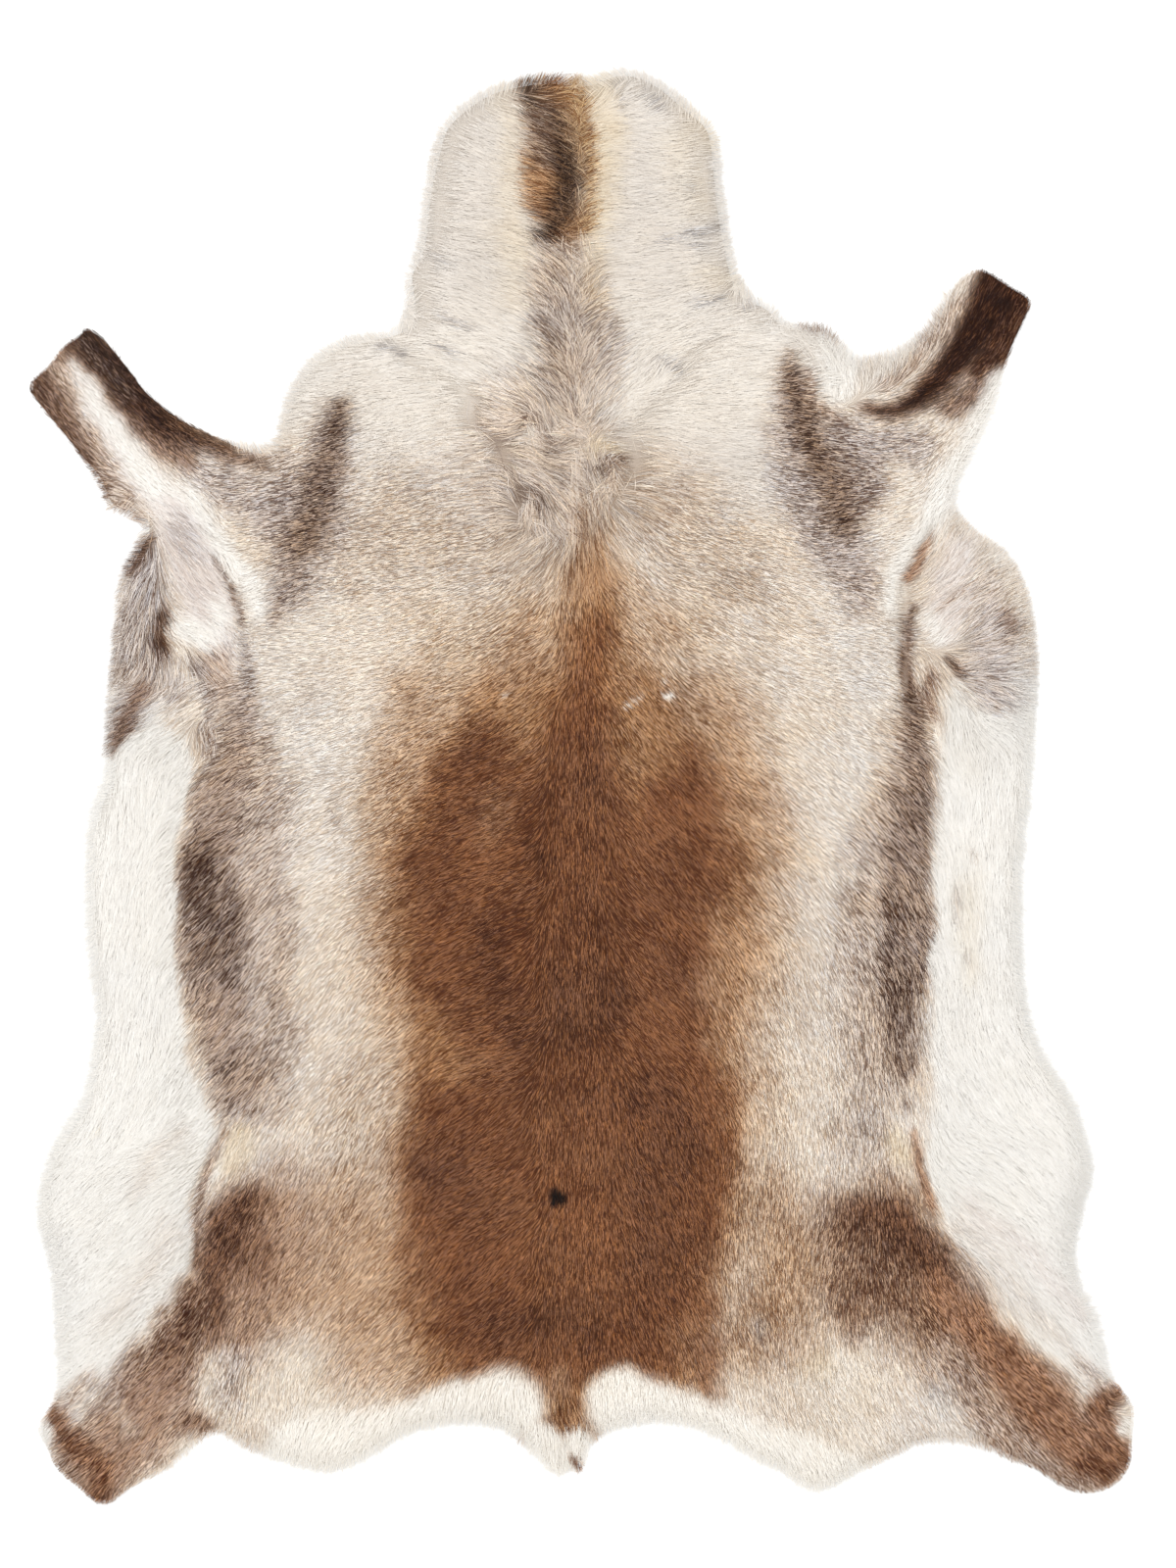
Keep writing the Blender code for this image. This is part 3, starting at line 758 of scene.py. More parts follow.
# %% The mane and the streaks of the neck
MANE_PATCHES = (
    ("mane grey", 30, 80, 16, (-12, 500, 22), (-12, 440, 32), (-6, 390, 30)),
    ("mane grey", 15, 72, 22, (-10, 365, 32), (-40, 320, 55), (-40, 265, 55), (-10, 240, 30)),
    ("mane grey", 50, 70, 10, (-16, 480, 10), (-22, 430, 9), (-28, 390, 7), (-20, 358, 8), (-4, 335, 5)),
    ("mane grey", 34, 35, 10, (16, 430, 6), (28, 395, 8), (24, 350, 8)),
    ("gold cream", 50, 50, 10, (12, 430, 6), (10, 455, 6)),
    ("gold cream", 20, 50, 14, (-66, 630, 4), (-58, 590, 6), (-58, 545, 8), (-56, 500, 6), (-52, 470, 8)),
    ("gold cream", 32, 70, 16, (6, 640, 10), (14, 610, 14), (18, 575, 14), (16, 540, 14), (14, 500, 12),
        (16, 474, 8)),
    ("mane rust", 74, 92, 10, (-30, 650, 20), (-26, 610, 20), (-22, 560, 19), (-22, 520, 18),
        (-16, 500, 16)),
    ("mane grey", 80, 85, 10, (-40, 625, 11), (-30, 598, 15), (-24, 565, 11)),
    ("mane rust", 40, 80, 8, (-43, 560, 5), (-41, 541, 8), (-40, 520, 6)),
    ("mane gold", 62, 90, 7, (-10, 640, 6), (-2, 606, 6), (2, 580, 8), (5, 555, 6), (7, 530, 3),
        (3, 500, 7)),
    ("mane black", 50, 80, 7, (-50, 634, 6), (-40, 614, 5)),
    ("mane black", 75, 90, 7, (-18, 600, 3), (-12, 583, 5), (-11, 566, 7), (-10, 545, 8), (-15, 513, 8),
        (-22, 497, 8), (-38, 486, 4)),
    ("mane grey", 46, 60, 10, (-80, 318, 10), (-52, 320, 12)),
    ("mane grey", 62, 70, 6, (-48, 336, 6), (-38, 326, 5)),
    ("cream", 30, 80, 5, (-46, 312, 5)),
    ("mane grey", 70, 70, 6, (-27, 307, 5), (-22, 294, 5)),
    ("mane grey", 80, 85, 7, (-57, 264, 5), (-46, 252, 8), (-30, 243, 5)),
    ("gold cream", 60, 80, 6, (12, 303, 7), (27, 300, 6)),
    ("mane grey", 80, 80, 5, (8, 284, 5), (18, 282, 6), (30, 290, 5)),
    ("dun", 60, 65, 4, (2, 250, 2), (0, 225, 3), (-4, 200, 3), (-14, 180, 3)),
    ("blue tips", 45, 65, 5, (30, 626, 3), (34, 606, 2)),
    ("blue tips", 80, 75, 4, (56, 622, 3), (66, 606, 3)),
    ("blue tips", 50, 50, 4, (85, 545, 2), (95, 532, 2)),
    ("blue tips", 60, 70, 5, (128, 503, 3), (100, 496, 4), (70, 488, 3)),
    ("blue tips", 50, 60, 4, (118, 488, 2), (92, 482, 2)),
    ("blue tips", 55, 60, 5, (132, 441, 3), (100, 430, 3)),
    ("blue tips", 55, 60, 5, (156, 436, 3), (142, 426, 2)),
    ("blue tips", 75, 80, 4, (70, 384, 2), (80, 378, 4), (90, 368, 2)),
    ("blue tips", 40, 50, 6, (-138, 478, 3), (-120, 470, 3)),
    ("blue tips", 55, 70, 5, (-120, 422, 3), (-98, 410, 4)),
    ("blue tips", 75, 80, 5, (-184, 394, 3), (-160, 386, 4)),
    ("blue tips", 50, 60, 5, (-128, 394, 3), (-108, 385, 3)),
    ("gold cream", 45, 60, 12, (118, 605, 6), (123, 580, 7)),
    ("gold cream", 20, 35, 20, (102, 600, 10), (90, 560, 14), (95, 520, 10)),
    ("gold cream", 20, 40, 18, (105, 458, 8), (135, 450, 8)),
    ("gold cream", 20, 35, 18, (-70, 490, 10), (-60, 440, 10)),
)

# %% The shoulders and the forelegs
FORE_PATCHES = (
    ("shoulder grey", 40, 85, 18, (-218, 335, 13), (-234, 285, 25), (-250, 230, 26), (-264, 180, 18),
        (-276, 150, 10)),
    ("shoulder brown", 50, 92, 12, (-212, 345, 6), (-222, 315, 11), (-234, 280, 17), (-244, 250, 19),
        (-250, 220, 14)),
    ("shoulder brown", 30, 45, 10, (-252, 215, 10), (-268, 180, 8), (-280, 148, 6)),
    ("shoulder grey", 42, 85, 18, (184, 360, 12), (200, 310, 30), (216, 265, 36), (234, 220, 30),
        (258, 170, 14)),
    ("shoulder brown", 54, 95, 11, (186, 382, 5), (190, 350, 10), (202, 320, 15), (216, 295, 18),
        (232, 265, 18), (240, 235, 13)),
    ("shoulder grey", 30, 80, 14, (-360, 290, 8), (-318, 274, 20), (-285, 250, 20)),
    ("shoulder grey", 48, 80, 14, (-275, 290, 10), (-268, 262, 16), (-272, 235, 10)),
    ("foreleg brown", 36, 85, 10, (-440, 388, 8), (-414, 350, 14), (-386, 316, 18), (-358, 296, 10)),
    ("foreleg brown", 45, 90, 10, (-470, 400, 20), (-440, 375, 10)),
    ("foreleg black", 66, 95, 10, (-452, 414, 15), (-424, 380, 16), (-402, 355, 16), (-374, 328, 15),
        (-348, 314, 11), (-322, 306, 5)),
    ("foreleg brown", 65, 75, 8, (-322, 300, 8), (-290, 292, 5)),
    ("elbow", 75, 55, 8, (-446, 398, 4), (-428, 374, 5), (-408, 352, 4)),
    ("mane rust", 80, 45, 8, (-372, 334, 4), (-345, 318, 4), (-315, 304, 3)),
    ("foreleg brown", 60, 95, 8, (-500, 375, 22), (-480, 345, 22), (-460, 305, 18), (-434, 266, 12)),
    ("leg tan", 40, 80, 8, (-412, 248, 10), (-400, 240, 8)),
    ("leg tan", 36, 70, 12, (-470, 385, 8), (-452, 352, 14), (-430, 312, 18), (-405, 275, 20)),
    ("pink white", 35, 100, 9, (-458, 382, 2), (-442, 354, 8), (-422, 320, 12), (-402, 288, 15),
        (-378, 262, 14)),
    ("clean white", 45, 95, 9, (-456, 378, 2), (-438, 346, 7), (-414, 310, 11), (-393, 281, 12),
        (-369, 261, 11)),
    ("pink white", 30, 100, 8, (-370, 245, 16), (-352, 225, 22), (-340, 190, 22), (-330, 160, 18)),
    ("clean white", 55, 100, 8, (-352, 262, 8), (-332, 232, 9), (-313, 200, 11), (-298, 176, 11),
        (-292, 152, 8)),
    ("clean white", 80, 100, 6, (232, 395, 20), (230, 355, 14)),
    ("leg tan", 35, 60, 4, (203, 372, 3), (206, 345, 4), (222, 332, 4), (243, 322, 3)),
    ("leg tan", 55, 70, 5, (200, 412, 3), (220, 412, 4), (236, 400, 3)),
    ("cream", 60, 90, 10, (262, 362, 12), (285, 382, 18), (318, 415, 16), (335, 440, 8)),
    ("leg tan", 15, 70, 8, (274, 360, 8), (296, 378, 8), (322, 408, 8), (338, 436, 6)),
    ("shoulder grey", 58, 88, 12, (238, 316, 14), (250, 290, 18), (258, 262, 16)),
    ("shoulder grey", 30, 80, 14, (266, 308, 14), (300, 302, 14)),
    ("haunch dark", 72, 95, 8, (410, 445, 16), (385, 405, 18), (360, 372, 12)),
    ("foreleg brown", 40, 90, 10, (380, 372, 10), (352, 352, 12), (325, 338, 8)),
    ("foreleg rust", 84, 97, 9, (256, 336, 4), (282, 334, 6), (310, 352, 10), (332, 376, 14),
        (350, 402, 16), (366, 430, 20), (384, 462, 26)),
    ("clean white", 75, 100, 8, (378, 362, 14), (362, 330, 15), (347, 300, 15), (327, 268, 14),
        (312, 238, 12), (296, 215, 10), (283, 188, 10), (280, 158, 8)),
    ("elbow", 37, 90, 14, (-396, 205, 20), (-398, 150, 22), (-398, 95, 22), (-412, 45, 14)),
    ("pink white", 50, 95, 10, (-360, 228, 14), (-348, 190, 20), (-336, 155, 20), (-325, 120, 14)),
    ("elbow", 10, 22, 10, (-362, 238, 8), (-350, 205, 10)),
    ("elbow", 30, 60, 10, (-378, 110, 12), (-366, 80, 12)),
    ("leg tan", 34, 80, 10, (-330, 112, 14), (-322, 85, 16)),
    ("clean white", 20, 100, 8, (-352, 140, 12), (-338, 132, 12), (-326, 146, 8), (-326, 160, 6)),
    ("foreleg brown", 60, 80, 6, (-408, 198, 8), (-390, 215, 8)),
    ("foreleg brown", 80, 90, 6, (-373, 150, 6), (-375, 118, 8)),
    ("foreleg brown", 40, 80, 8, (-395, 85, 8), (-420, 35, 7)),
    ("elbow", 50, 80, 6, (-345, 105, 5), (-336, 80, 6), (-335, 20, 6)),
    # A thin dark line on the left armpit crease: partly the fold's own hair, partly painted shade in the
    # fold.
    ("foreleg brown", 85, 75, 1.5, (-331, 208, 0.6), (-322, 194, 1.6), (-315, 181, 2), (-310, 167, 2),
        (-306, 154, 1.6), (-304, 143, 1.4)),
    ("elbow", 55, 80, 6, (-303, 135, 2), (-301, 115, 5), (-301, 90, 6), (-308, 60, 8), (-310, 30, 8)),
    ("pink white", 40, 90, 10, (340, 215, 14), (335, 180, 20), (325, 145, 18)),
    ("elbow", 16, 90, 16, (362, 185, 10), (372, 150, 24), (372, 90, 22)),
    ("clean white", 30, 90, 8, (312, 150, 7), (322, 136, 8)),
    ("leg tan", 55, 60, 3, (350, 186, 1), (332, 170, 2), (322, 160, 1)),
    ("foreleg brown", 70, 90, 5, (330, 114, 4), (342, 102, 6)),
    ("foreleg brown", 45, 70, 8, (385, 158, 6), (390, 140, 6)),
    ("belly white", 30, 70, 8, (342, 60, 12)),
    # This row and the next follow the right armpit crease: partly the fold's own hair, partly painted
    # shade in the fold.
    ("leg rust", 12, 90, 4, (316, 230, 1), (311, 217, 3), (304, 202, 4), (295, 187, 4)),
    ("foreleg brown", 50, 85, 5, (300, 162, 2), (293, 144, 4), (290, 117, 5), (291, 96, 6), (298, 62, 8),
        (302, 45, 6)),
    ("leg tan", 55, 80, 6, (316, 98, 6), (310, 75, 6), (318, 60, 4)),
)

# %% The flanks and the back
FLANK_PATCHES = (
    ("flank grey", 32, 88, 18, (-314, 65, 20), (-304, -10, 38), (-302, -80, 46), (-304, -160, 46),
        (-300, -220, 38), (-296, -285, 26)),
    ("flank brown", 22, 90, 13, (-305, 70, 8), (-314, 30, 14), (-330, -10, 24), (-334, -50, 24)),
    ("flank brown", 70, 92, 15, (-334, -72, 22), (-332, -105, 30), (-332, -150, 30), (-328, -190, 22)),
    ("flank brown", 33, 90, 14, (-328, -200, 22), (-316, -240, 20), (-308, -275, 12)),
    ("belly white", 40, 100, 3, (-385, 15, 36), (-398, -40, 36), (-402, -80, 36), (-398, -100, 36),
        (-402, -140, 36), (-395, -200, 36), (-392, -250, 36), (-372, -290, 36), (-350, -330, 32)),
    ("gold cream", 35, 60, 8, (-305, -315, 12), (-310, -335, 14)),
    ("leg tan", 10, 22, 16, (-360, -310, 6), (-385, -345, 5), (-402, -362, 4)),
    ("flank grey", 34, 88, 18, (292, 70, 10), (294, 20, 18), (282, -50, 32), (272, -110, 42),
        (268, -180, 42), (274, -240, 28)),
    ("flank brown", 62, 95, 12, (298, 75, 6), (300, 45, 10), (304, 15, 16), (302, -25, 18),
        (292, -60, 20)),
    ("flank brown", 56, 95, 12, (291, -65, 19), (289, -105, 23), (291, -140, 25), (283, -180, 21),
        (287, -215, 15), (290, -250, 10)),
    ("belly white", 42, 100, 3, (357, 35, 32), (362, 0, 32), (357, -40, 32), (347, -80, 32),
        (354, -130, 32), (342, -160, 32), (352, -190, 32), (352, -230, 32), (350, -270, 30)),
    ("gold cream", 20, 30, 14, (346, -95, 8), (346, -175, 8)),
    ("flank brown", 50, 40, 4, (336, -92, 1), (337, -108, 2), (336, -124, 1)),
    ("flank brown", 60, 50, 3, (350, -63, 2), (352, -68, 1)),
    ("flank brown", 60, 50, 3, (345, -155, 1), (346, -160, 1)),
    ("flank grey", 24, 60, 24, (258, -262, 20), (255, -325, 26)),
    ("flank grey", 40, 50, 12, (288, -276, 10)),
    ("flank brown", 60, 60, 4, (275, -310, 3), (277, -305, 2)),
    ("flank brown", 60, 60, 4, (290, -290, 3), (292, -285, 2)),
    ("fawn", 45, 70, 30, (-205, -270, 20), (-208, -340, 30)),
    ("flank grey", 50, 50, 8, (-222, -10, 3), (-218, -30, 3)),
    ("dun", 34, 70, 22, (128, -110, 10), (124, -180, 16), (124, -215, 10)),
    ("saddle gold", 28, 80, 16, (-134, -215, 18), (-120, -250, 22)),
    ("dun", 45, 35, 14, (-80, -15, 12), (-86, -50, 10)),
    ("saddle gold", 16, 70, 16, (52, 100, 10), (62, 60, 18), (70, 20, 14)),
    ("saddle dark", 45, 60, 12, (-104, 32, 8), (-96, 26, 8)),
    ("saddle dark", 50, 70, 12, (-46, -60, 10), (-34, -72, 8)),
    ("saddle dark", 50, 60, 14, (-85, -128, 12), (-80, -180, 12)),
    ("saddle dark", 50, 60, 14, (10, 34, 8), (10, 0, 12)),
    ("saddle dark", 50, 50, 14, (88, -145, 12), (84, -165, 10)),
    ("saddle dark", 50, 60, 16, (30, -185, 14), (20, -210, 12)),
    ("saddle dark", 50, 60, 14, (-60, -205, 14), (-52, -222, 12)),
    ("saddle dark", 30, 30, 18, (8, -60, 12), (10, -120, 16), (6, -200, 18)),
    ("saddle", 30, 50, 20, (0, -400, 20), (10, -436, 20)),
    ("saddle dark", 40, 50, 16, (70, -270, 14)),
    ("saddle dark", 28, 40, 30, (-110, -340, 30), (-105, -430, 30)),
    ("saddle dark", 35, 50, 30, (80, -300, 30), (60, -360, 30), (70, -460, 30)),
    ("saddle dark", 40, 60, 22, (-80, -485, 20), (-40, -485, 22), (0, -495, 15)),
    ("saddle dark", 50, 70, 18, (-20, -180, 14), (-14, -215, 14)),
    ("saddle dark", 40, 60, 20, (20, -285, 14), (66, -285, 18)),
    ("saddle", 50, 85, 22, (116, -270, 10), (118, -370, 12)),
    ("saddle", 48, 85, 22, (-138, -370, 12), (-142, -460, 14)),
    ("dun", 58, 70, 20, (150, -504, 14), (158, -470, 8)),
    ("saddle", 36, 75, 14, (112, -470, 12), (114, -510, 18), (110, -545, 12)),
    ("saddle dark", 50, 60, 14, (-130, -345, 12), (-124, -362, 10)),
    ("saddle dark", 50, 60, 14, (90, -305, 12), (96, -320, 10)),
    ("scar", 30, 95, 1.5, (78.5, 80, 3.5), (82, 81.5, 2.5)),
    ("scar", 30, 85, 1.2, (40, 70, 1), (56, 80, 1)),
    ("scar", 30, 85, 1.2, (74, 92, 1.5), (77, 94, 1)),
    ("scar", 30, 80, 1.2, (-71, 81, 1.2), (-68, 81.5, 1)),
    ("hole", 75, 97, 2.5, (-22.5, -366, 5.5), (-18, -370, 5.5), (-23.5, -372, 4)),
    ("hole", 40, 60, 2, (-140, 152, 1.5), (-138, 151.5, 1)),
    ("hole", 40, 60, 2, (-195, 35, 1.5), (-193, 34.5, 1)),
)

# %% The haunches, the hind legs and the tail
HIND_PATCHES = (
    ("pale haunch", 30, 90, 24, (-250, -560, 40), (-258, -525, 34)),
    ("pale haunch", 20, 90, 20, (235, -530, 36), (230, -590, 40)),
    ("haunch", 18, 90, 28, (-268, -380, 36), (-284, -430, 50), (-300, -485, 34)),
    ("dun", 28, 85, 36, (-205, -385, 36), (-205, -450, 50), (-190, -505, 34)),
    ("haunch dark", 22, 55, 16, (-290, -405, 12), (-296, -435, 12)),
    ("haunch dark", 42, 90, 15, (-288, -366, 8), (-304, -378, 14), (-318, -396, 19), (-329, -424, 21),
        (-336, -460, 16), (-342, -500, 10)),
    ("dun", 40, 80, 34, (170, -380, 26), (190, -430, 44), (170, -495, 30)),
    ("haunch", 40, 45, 22, (272, -355, 12), (292, -368, 14)),
    ("haunch", 58, 95, 26, (235, -390, 26), (268, -402, 40), (290, -440, 50), (320, -472, 38),
        (344, -505, 30)),
    ("haunch dark", 48, 90, 16, (245, -380, 10), (285, -392, 18), (316, -420, 18), (337, -454, 15),
        (358, -496, 10)),
    ("haunch", 45, 80, 18, (240, -440, 16), (246, -478, 16)),
    ("belly white", 40, 100, 4, (-480, -480, 80), (-425, -440, 50), (-389, -434, 34), (-380, -400, 32)),
    ("leg tan", 44, 92, 12, (-354, -454, 11), (-366, -500, 27), (-392, -560, 40), (-440, -610, 42)),
    ("leg brown", 56, 90, 12, (-350, -450, 8), (-360, -485, 14), (-374, -525, 16)),
    ("leg brown", 16, 80, 14, (-376, -530, 20), (-402, -572, 26), (-436, -612, 26)),
    ("belly white", 40, 100, 3, (-500, -520, 45), (-480, -520, 30)),
    ("leg tan", 35, 60, 10, (-464, -550, 10), (-440, -532, 8)),
    ("pale haunch", 30, 45, 10, (-420, -552, 6), (-404, -576, 9)),
    ("leg rust", 60, 90, 8, (-476, -560, 10), (-466, -580, 12), (-430, -612, 10), (-432, -636, 10)),
    ("leg tan", 30, 60, 10, (-380, -600, 10), (-356, -556, 8)),
    ("belly white", 30, 95, 4, (-488, -574, 7), (-482, -578, 6)),
    ("pale haunch", 20, 60, 22, (-262, -540, 22), (-268, -512, 14)),
    ("elbow", 32, 70, 14, (-314, -515, 10), (-318, -550, 10)),
    ("leg brown", 55, 80, 10, (-350, -570, 12), (-338, -578, 8)),
    # This row and the next follow the left hip overlap: a darker line, partly the fold's own hair, partly
    # painted shade in the fold.
    ("haunch dark", 50, 60, 4, (-345, -385, 3), (-347, -430, 2)),
    ("leg tan", 45, 80, 6, (-320, -312, 3), (-334, -340, 5), (-342, -370, 5), (-348, -400, 4)),
    ("gold cream", 30, 80, 2, (-435, -312, 2), (-432, -313, 1.5)),
    ("leg tan", 10, 22, 18, (-372, -400, 8), (-395, -440, 7), (-430, -480, 6)),
    ("gold cream", 25, 70, 10, (280, -316, 10), (286, -328, 8)),
    # This row follows the right hip crease: a darker line, partly the fold's own hair, partly painted
    # shade in the fold.
    ("leg rust", 35, 80, 5, (298, -310, 2), (302, -332, 4), (308, -356, 5), (316, -378, 4)),
    ("leg tan", 40, 90, 16, (345, -515, 26), (360, -535, 32), (385, -565, 36), (440, -600, 42)),
    ("leg rust", 38, 92, 12, (324, -450, 16), (340, -475, 20), (372, -505, 20), (402, -542, 22),
        (438, -580, 24), (474, -606, 22)),
    ("belly white", 42, 100, 3, (345, -335, 36), (365, -385, 36), (398, -417, 36), (435, -458, 36),
        (470, -494, 36), (500, -520, 36)),
    ("leg rust", 60, 92, 8, (466, -562, 12), (476, -580, 14), (484, -600, 12)),
    ("leg rust", 75, 90, 8, (455, -606, 10), (472, -614, 10)),
    ("leg tan", 40, 60, 8, (446, -522, 6), (462, -534, 6)),
    ("rump white", 30, 90, 4, (488, -577, 6), (493, -572, 6)),
    ("pink white", 60, 60, 14, (352, -372, 8), (378, -400, 10), (412, -430, 10), (450, -475, 10)),
    ("leg tan", 10, 28, 16, (342, -392, 6), (372, -430, 6), (400, -468, 6), (440, -508, 4)),
    ("leg rust", 70, 85, 8, (466, -552, 10), (480, -546, 10), (488, -540, 6)),
    ("gold cream", 35, 50, 12, (210, -520, 12)),
    ("blue tips", 40, 50, 10, (160, -485, 6), (162, -497, 6)),
    ("blue tips", 40, 50, 12, (320, -545, 8), (326, -556, 6)),
    ("haunch", 60, 60, 5, (180, -585, 4), (184, -588, 3)),
    ("rump white", 45, 100, 10, (-250, -603, 36), (-200, -598, 38), (-150, -590, 40), (-100, -568, 40),
        (-70, -556, 36)),
    ("rump white", 45, 100, 10, (40, -560, 38), (85, -578, 38), (120, -594, 36), (150, -604, 36),
        (180, -608, 36), (235, -618, 24)),
    ("saddle", 45, 90, 7, (-20, -505, 18), (-20, -525, 14)),
    ("tail brown", 36, 95, 6, (-20, -530, 11), (-18, -545, 8), (-13, -564, 1)),
    ("rump white", 40, 100, 5, (-36, -590, 18), (-20, -606, 18), (-4, -590, 14), (6, -600, 10)),
    ("tail rust", 60, 90, 2, (-10, -602, 1.5), (-4, -608, 2.5), (1, -616, 1.5)),
)


# %% Paint the patches
BORDER_WANDER, BORDER_WANDER_SIZE = 9 * MM, 50 * MM
BORDER_FRAY, BORDER_FRAY_SIZE = 4 * MM, 12 * MM
SOFT_BORDER, LOOSEST = 12, 1.6  # the fade in mm at which a border wanders fully, and the most
PATCHES = (*GROUND_PATCHES, *MANE_PATCHES, *FORE_PATCHES, *FLANK_PATCHES, *HIND_PATCHES)


def painted():
    """Seven channels: a light colour, a dark colour and the share of dark hairs. Each patch
    replaces what is below it by its amount times its fade, at places pushed about by noise."""
    wander = [
        BORDER_WANDER * cloudy(grid_x, grid_y, BORDER_WANDER_SIZE, seed)
        + BORDER_FRAY * cloudy(grid_x, grid_y, BORDER_FRAY_SIZE, seed + 10)
        for seed in (301, 331)
    ]
    paint = np.zeros((*grid_x.shape, 7))
    for shade, share, amount, soft, *band in PATCHES:
        loose = min(LOOSEST, soft / SOFT_BORDER)
        x, y = grid_x + loose * wander[0], grid_y + loose * wander[1]
        depth = depth_in_band(in_metres(band), x, y)
        cover = amount / 100 * smooth_step(-soft / 1000, soft / 1000, depth)
        light, dark = SHADES[shade]
        here = np.array((*light, *dark, 255 * share / 100)) / 255
        paint += cover[..., None] * (here - paint)
    return paint


paint = Field(painted())
print(f"painted {len(SHADES)} shades; {paint.values[..., 6].mean():.2f} of the hairs are dark")

# %% [markdown]
# ## The skin
# The tanned skin is a sheet 2 mm thick, cut a little inside the hair's own edge. It is seen from
# below and at the bare cut edges, and has a napped suede finish there. A sheet of any outline can
# be cut from a grid: keep the cells inside the outline, pull the border's corners onto it, put one
# copy above another, and join the two around the rim.


# %% A closed sheet cut from a grid
REACH_OUT = 0.45  # how far outside the line, in steps, a corner may lie to be pulled onto it
NEWTON_STEPS, LEAST_SLOPE, LONGEST_MOVE = 3, 0.3, 6 * MM
FILL_ROUNDS = 4


def sheet_mesh(name, step, inset, heights):
    """A closed shell. Its grid corners lie `step` apart, and its border follows the line where
    the distance from the edge equals `inset`. `heights` gives the lower and the upper surface."""
    x = np.arange(cad_low.x - step, cad_high.x + 2 * step, step)
    y = np.arange(cad_low.y - step, cad_high.y + 2 * step, step)
    corner_x, corner_y = np.meshgrid(x, y, indexing="ij")
    depth = inside.at(corner_x, corner_y) - inset.at(corner_x, corner_y)
    well_in = depth > -REACH_OUT * step
    cells = well_in[:-1, :-1] & well_in[1:, :-1] & well_in[1:, 1:] & well_in[:-1, 1:]
    cells = without_point_contacts(cells)
    around = np.pad(cells, 1)
    used = around[:-1, :-1] | around[1:, :-1] | around[:-1, 1:] | around[1:, 1:]
    border = used & ~(around[:-1, :-1] & around[1:, :-1] & around[:-1, 1:] & around[1:, 1:])
    corner_x, corner_y = pulled_to_line(corner_x, corner_y, border, inset)
    number = np.cumsum(used.ravel()).reshape(used.shape) - 1
    count = int(used.sum())
    low, high = heights(corner_x[used], corner_y[used])
    plan = np.stack([corner_x[used], corner_y[used]], axis=-1)
    points = np.vstack([np.column_stack([plan, high]), np.column_stack([plan, low])])
    i, j = np.nonzero(cells)
    ring = np.stack([number[i, j], number[i + 1, j], number[i + 1, j + 1], number[i, j + 1]], axis=1)
    faces = [ring, ring[:, ::-1] + count]
    for side, (step_i, step_j) in enumerate(((0, -1), (1, 0), (0, 1), (-1, 0))):
        rim = ring[~around[i + 1 + step_i, j + 1 + step_j]]
        a, b = rim[:, side], rim[:, (side + 1) % 4]
        faces.append(np.stack([a + count, b + count, b, a], axis=1))
    mesh = bpy.data.meshes.new(name)
    mesh.from_pydata(points, [], np.vstack(faces))
    mesh.polygons.foreach_set("use_smooth", np.ones(len(mesh.polygons), bool))
    return mesh


def without_point_contacts(cells):
    """Where two cells touch only at a corner, the cell between them is added."""
    for _ in range(FILL_ROUNDS):
        a, b, c, d = cells[:-1, :-1], cells[1:, :-1], cells[1:, 1:], cells[:-1, 1:]
        rising, falling = a & c & ~b & ~d, b & d & ~a & ~c
        cells[1:, :-1] |= rising
        cells[:-1, :-1] |= falling
    return cells


def pulled_to_line(x, y, chosen, inset):
    """Moves the chosen points down the slope of the depth until it is zero: a few Newton steps of
    depth / slope² along the slope, none longer than the longest move."""
    x, y = x.copy(), y.copy()
    for _ in range(NEWTON_STEPS):
        px, py = x[chosen], y[chosen]
        depth = inside.at(px, py) - inset.at(px, py)
        slope_x = (inside.at(px + MAP_STEP, py) - inside.at(px - MAP_STEP, py)) / (2 * MAP_STEP)
        slope_y = (inside.at(px, py + MAP_STEP) - inside.at(px, py - MAP_STEP)) / (2 * MAP_STEP)
        steep = np.maximum(slope_x**2 + slope_y**2, LEAST_SLOPE)
        move = np.clip(-depth / steep, -LONGEST_MOVE, LONGEST_MOVE)
        x[chosen], y[chosen] = px + move * slope_x, py + move * slope_y
    return x, y


# %% The skin piece
SKIN_THICKNESS = 2 * MM
SKIN_STEP = 11 * MM
SKIN_RISE = 0.10  # the share of the coat's folds that the skin follows
RISE_FROM_EDGE, RISE_CLOUD = 80 * MM, 90 * MM
EDGE_THINNING, THINNING_WIDTH = 0.38, 30 * MM
SKIN_INSET = (1.3, 0.8 * MM)  # behind the outline by this much of the fringe, and this more


def skin_heights(x, y):
    """The skin lies on the floor. Its thickness is 2 mm, less towards the cut edge, and it lifts
    off the floor by a tenth of the coat's height where a fold pushes it up."""
    rise = SKIN_RISE * np.maximum(coat.at(x, y) - EDGE_HEIGHT, 0)
    folded = 0.5 + 0.5 * cloudy(x, y, RISE_CLOUD, 61)
    lift = rise * smooth_step(0, RISE_FROM_EDGE, inside.at(x, y)) * folded
    full = smooth_step(0, THINNING_WIDTH, inside.at(x, y))
    return lift, lift + SKIN_THICKNESS * (1 - EDGE_THINNING + EDGE_THINNING * full)


def inset_by(of_fringe, more):
    """How far behind the outline a sheet ends: a multiple of the fringe, and some more."""
    return Field(growth.values[..., 3] * of_fringe + more)


skin_inset = inset_by(*SKIN_INSET)
skin_mesh = sheet_mesh("skin", SKIN_STEP, skin_inset, skin_heights)
skin = placed("skin", skin_mesh)
print(f"skin: {len(skin_mesh.polygons)} faces")

# %% [markdown]
# ## The underwool
# Under the long hairs lies a dense wool. It isn't seen as single hairs but as the depth between
# them, so it is one closed body that fills the coat up to just below the hair tips. It carries the
# markings as a colour on each corner, darkened a little, because less light gets down there.

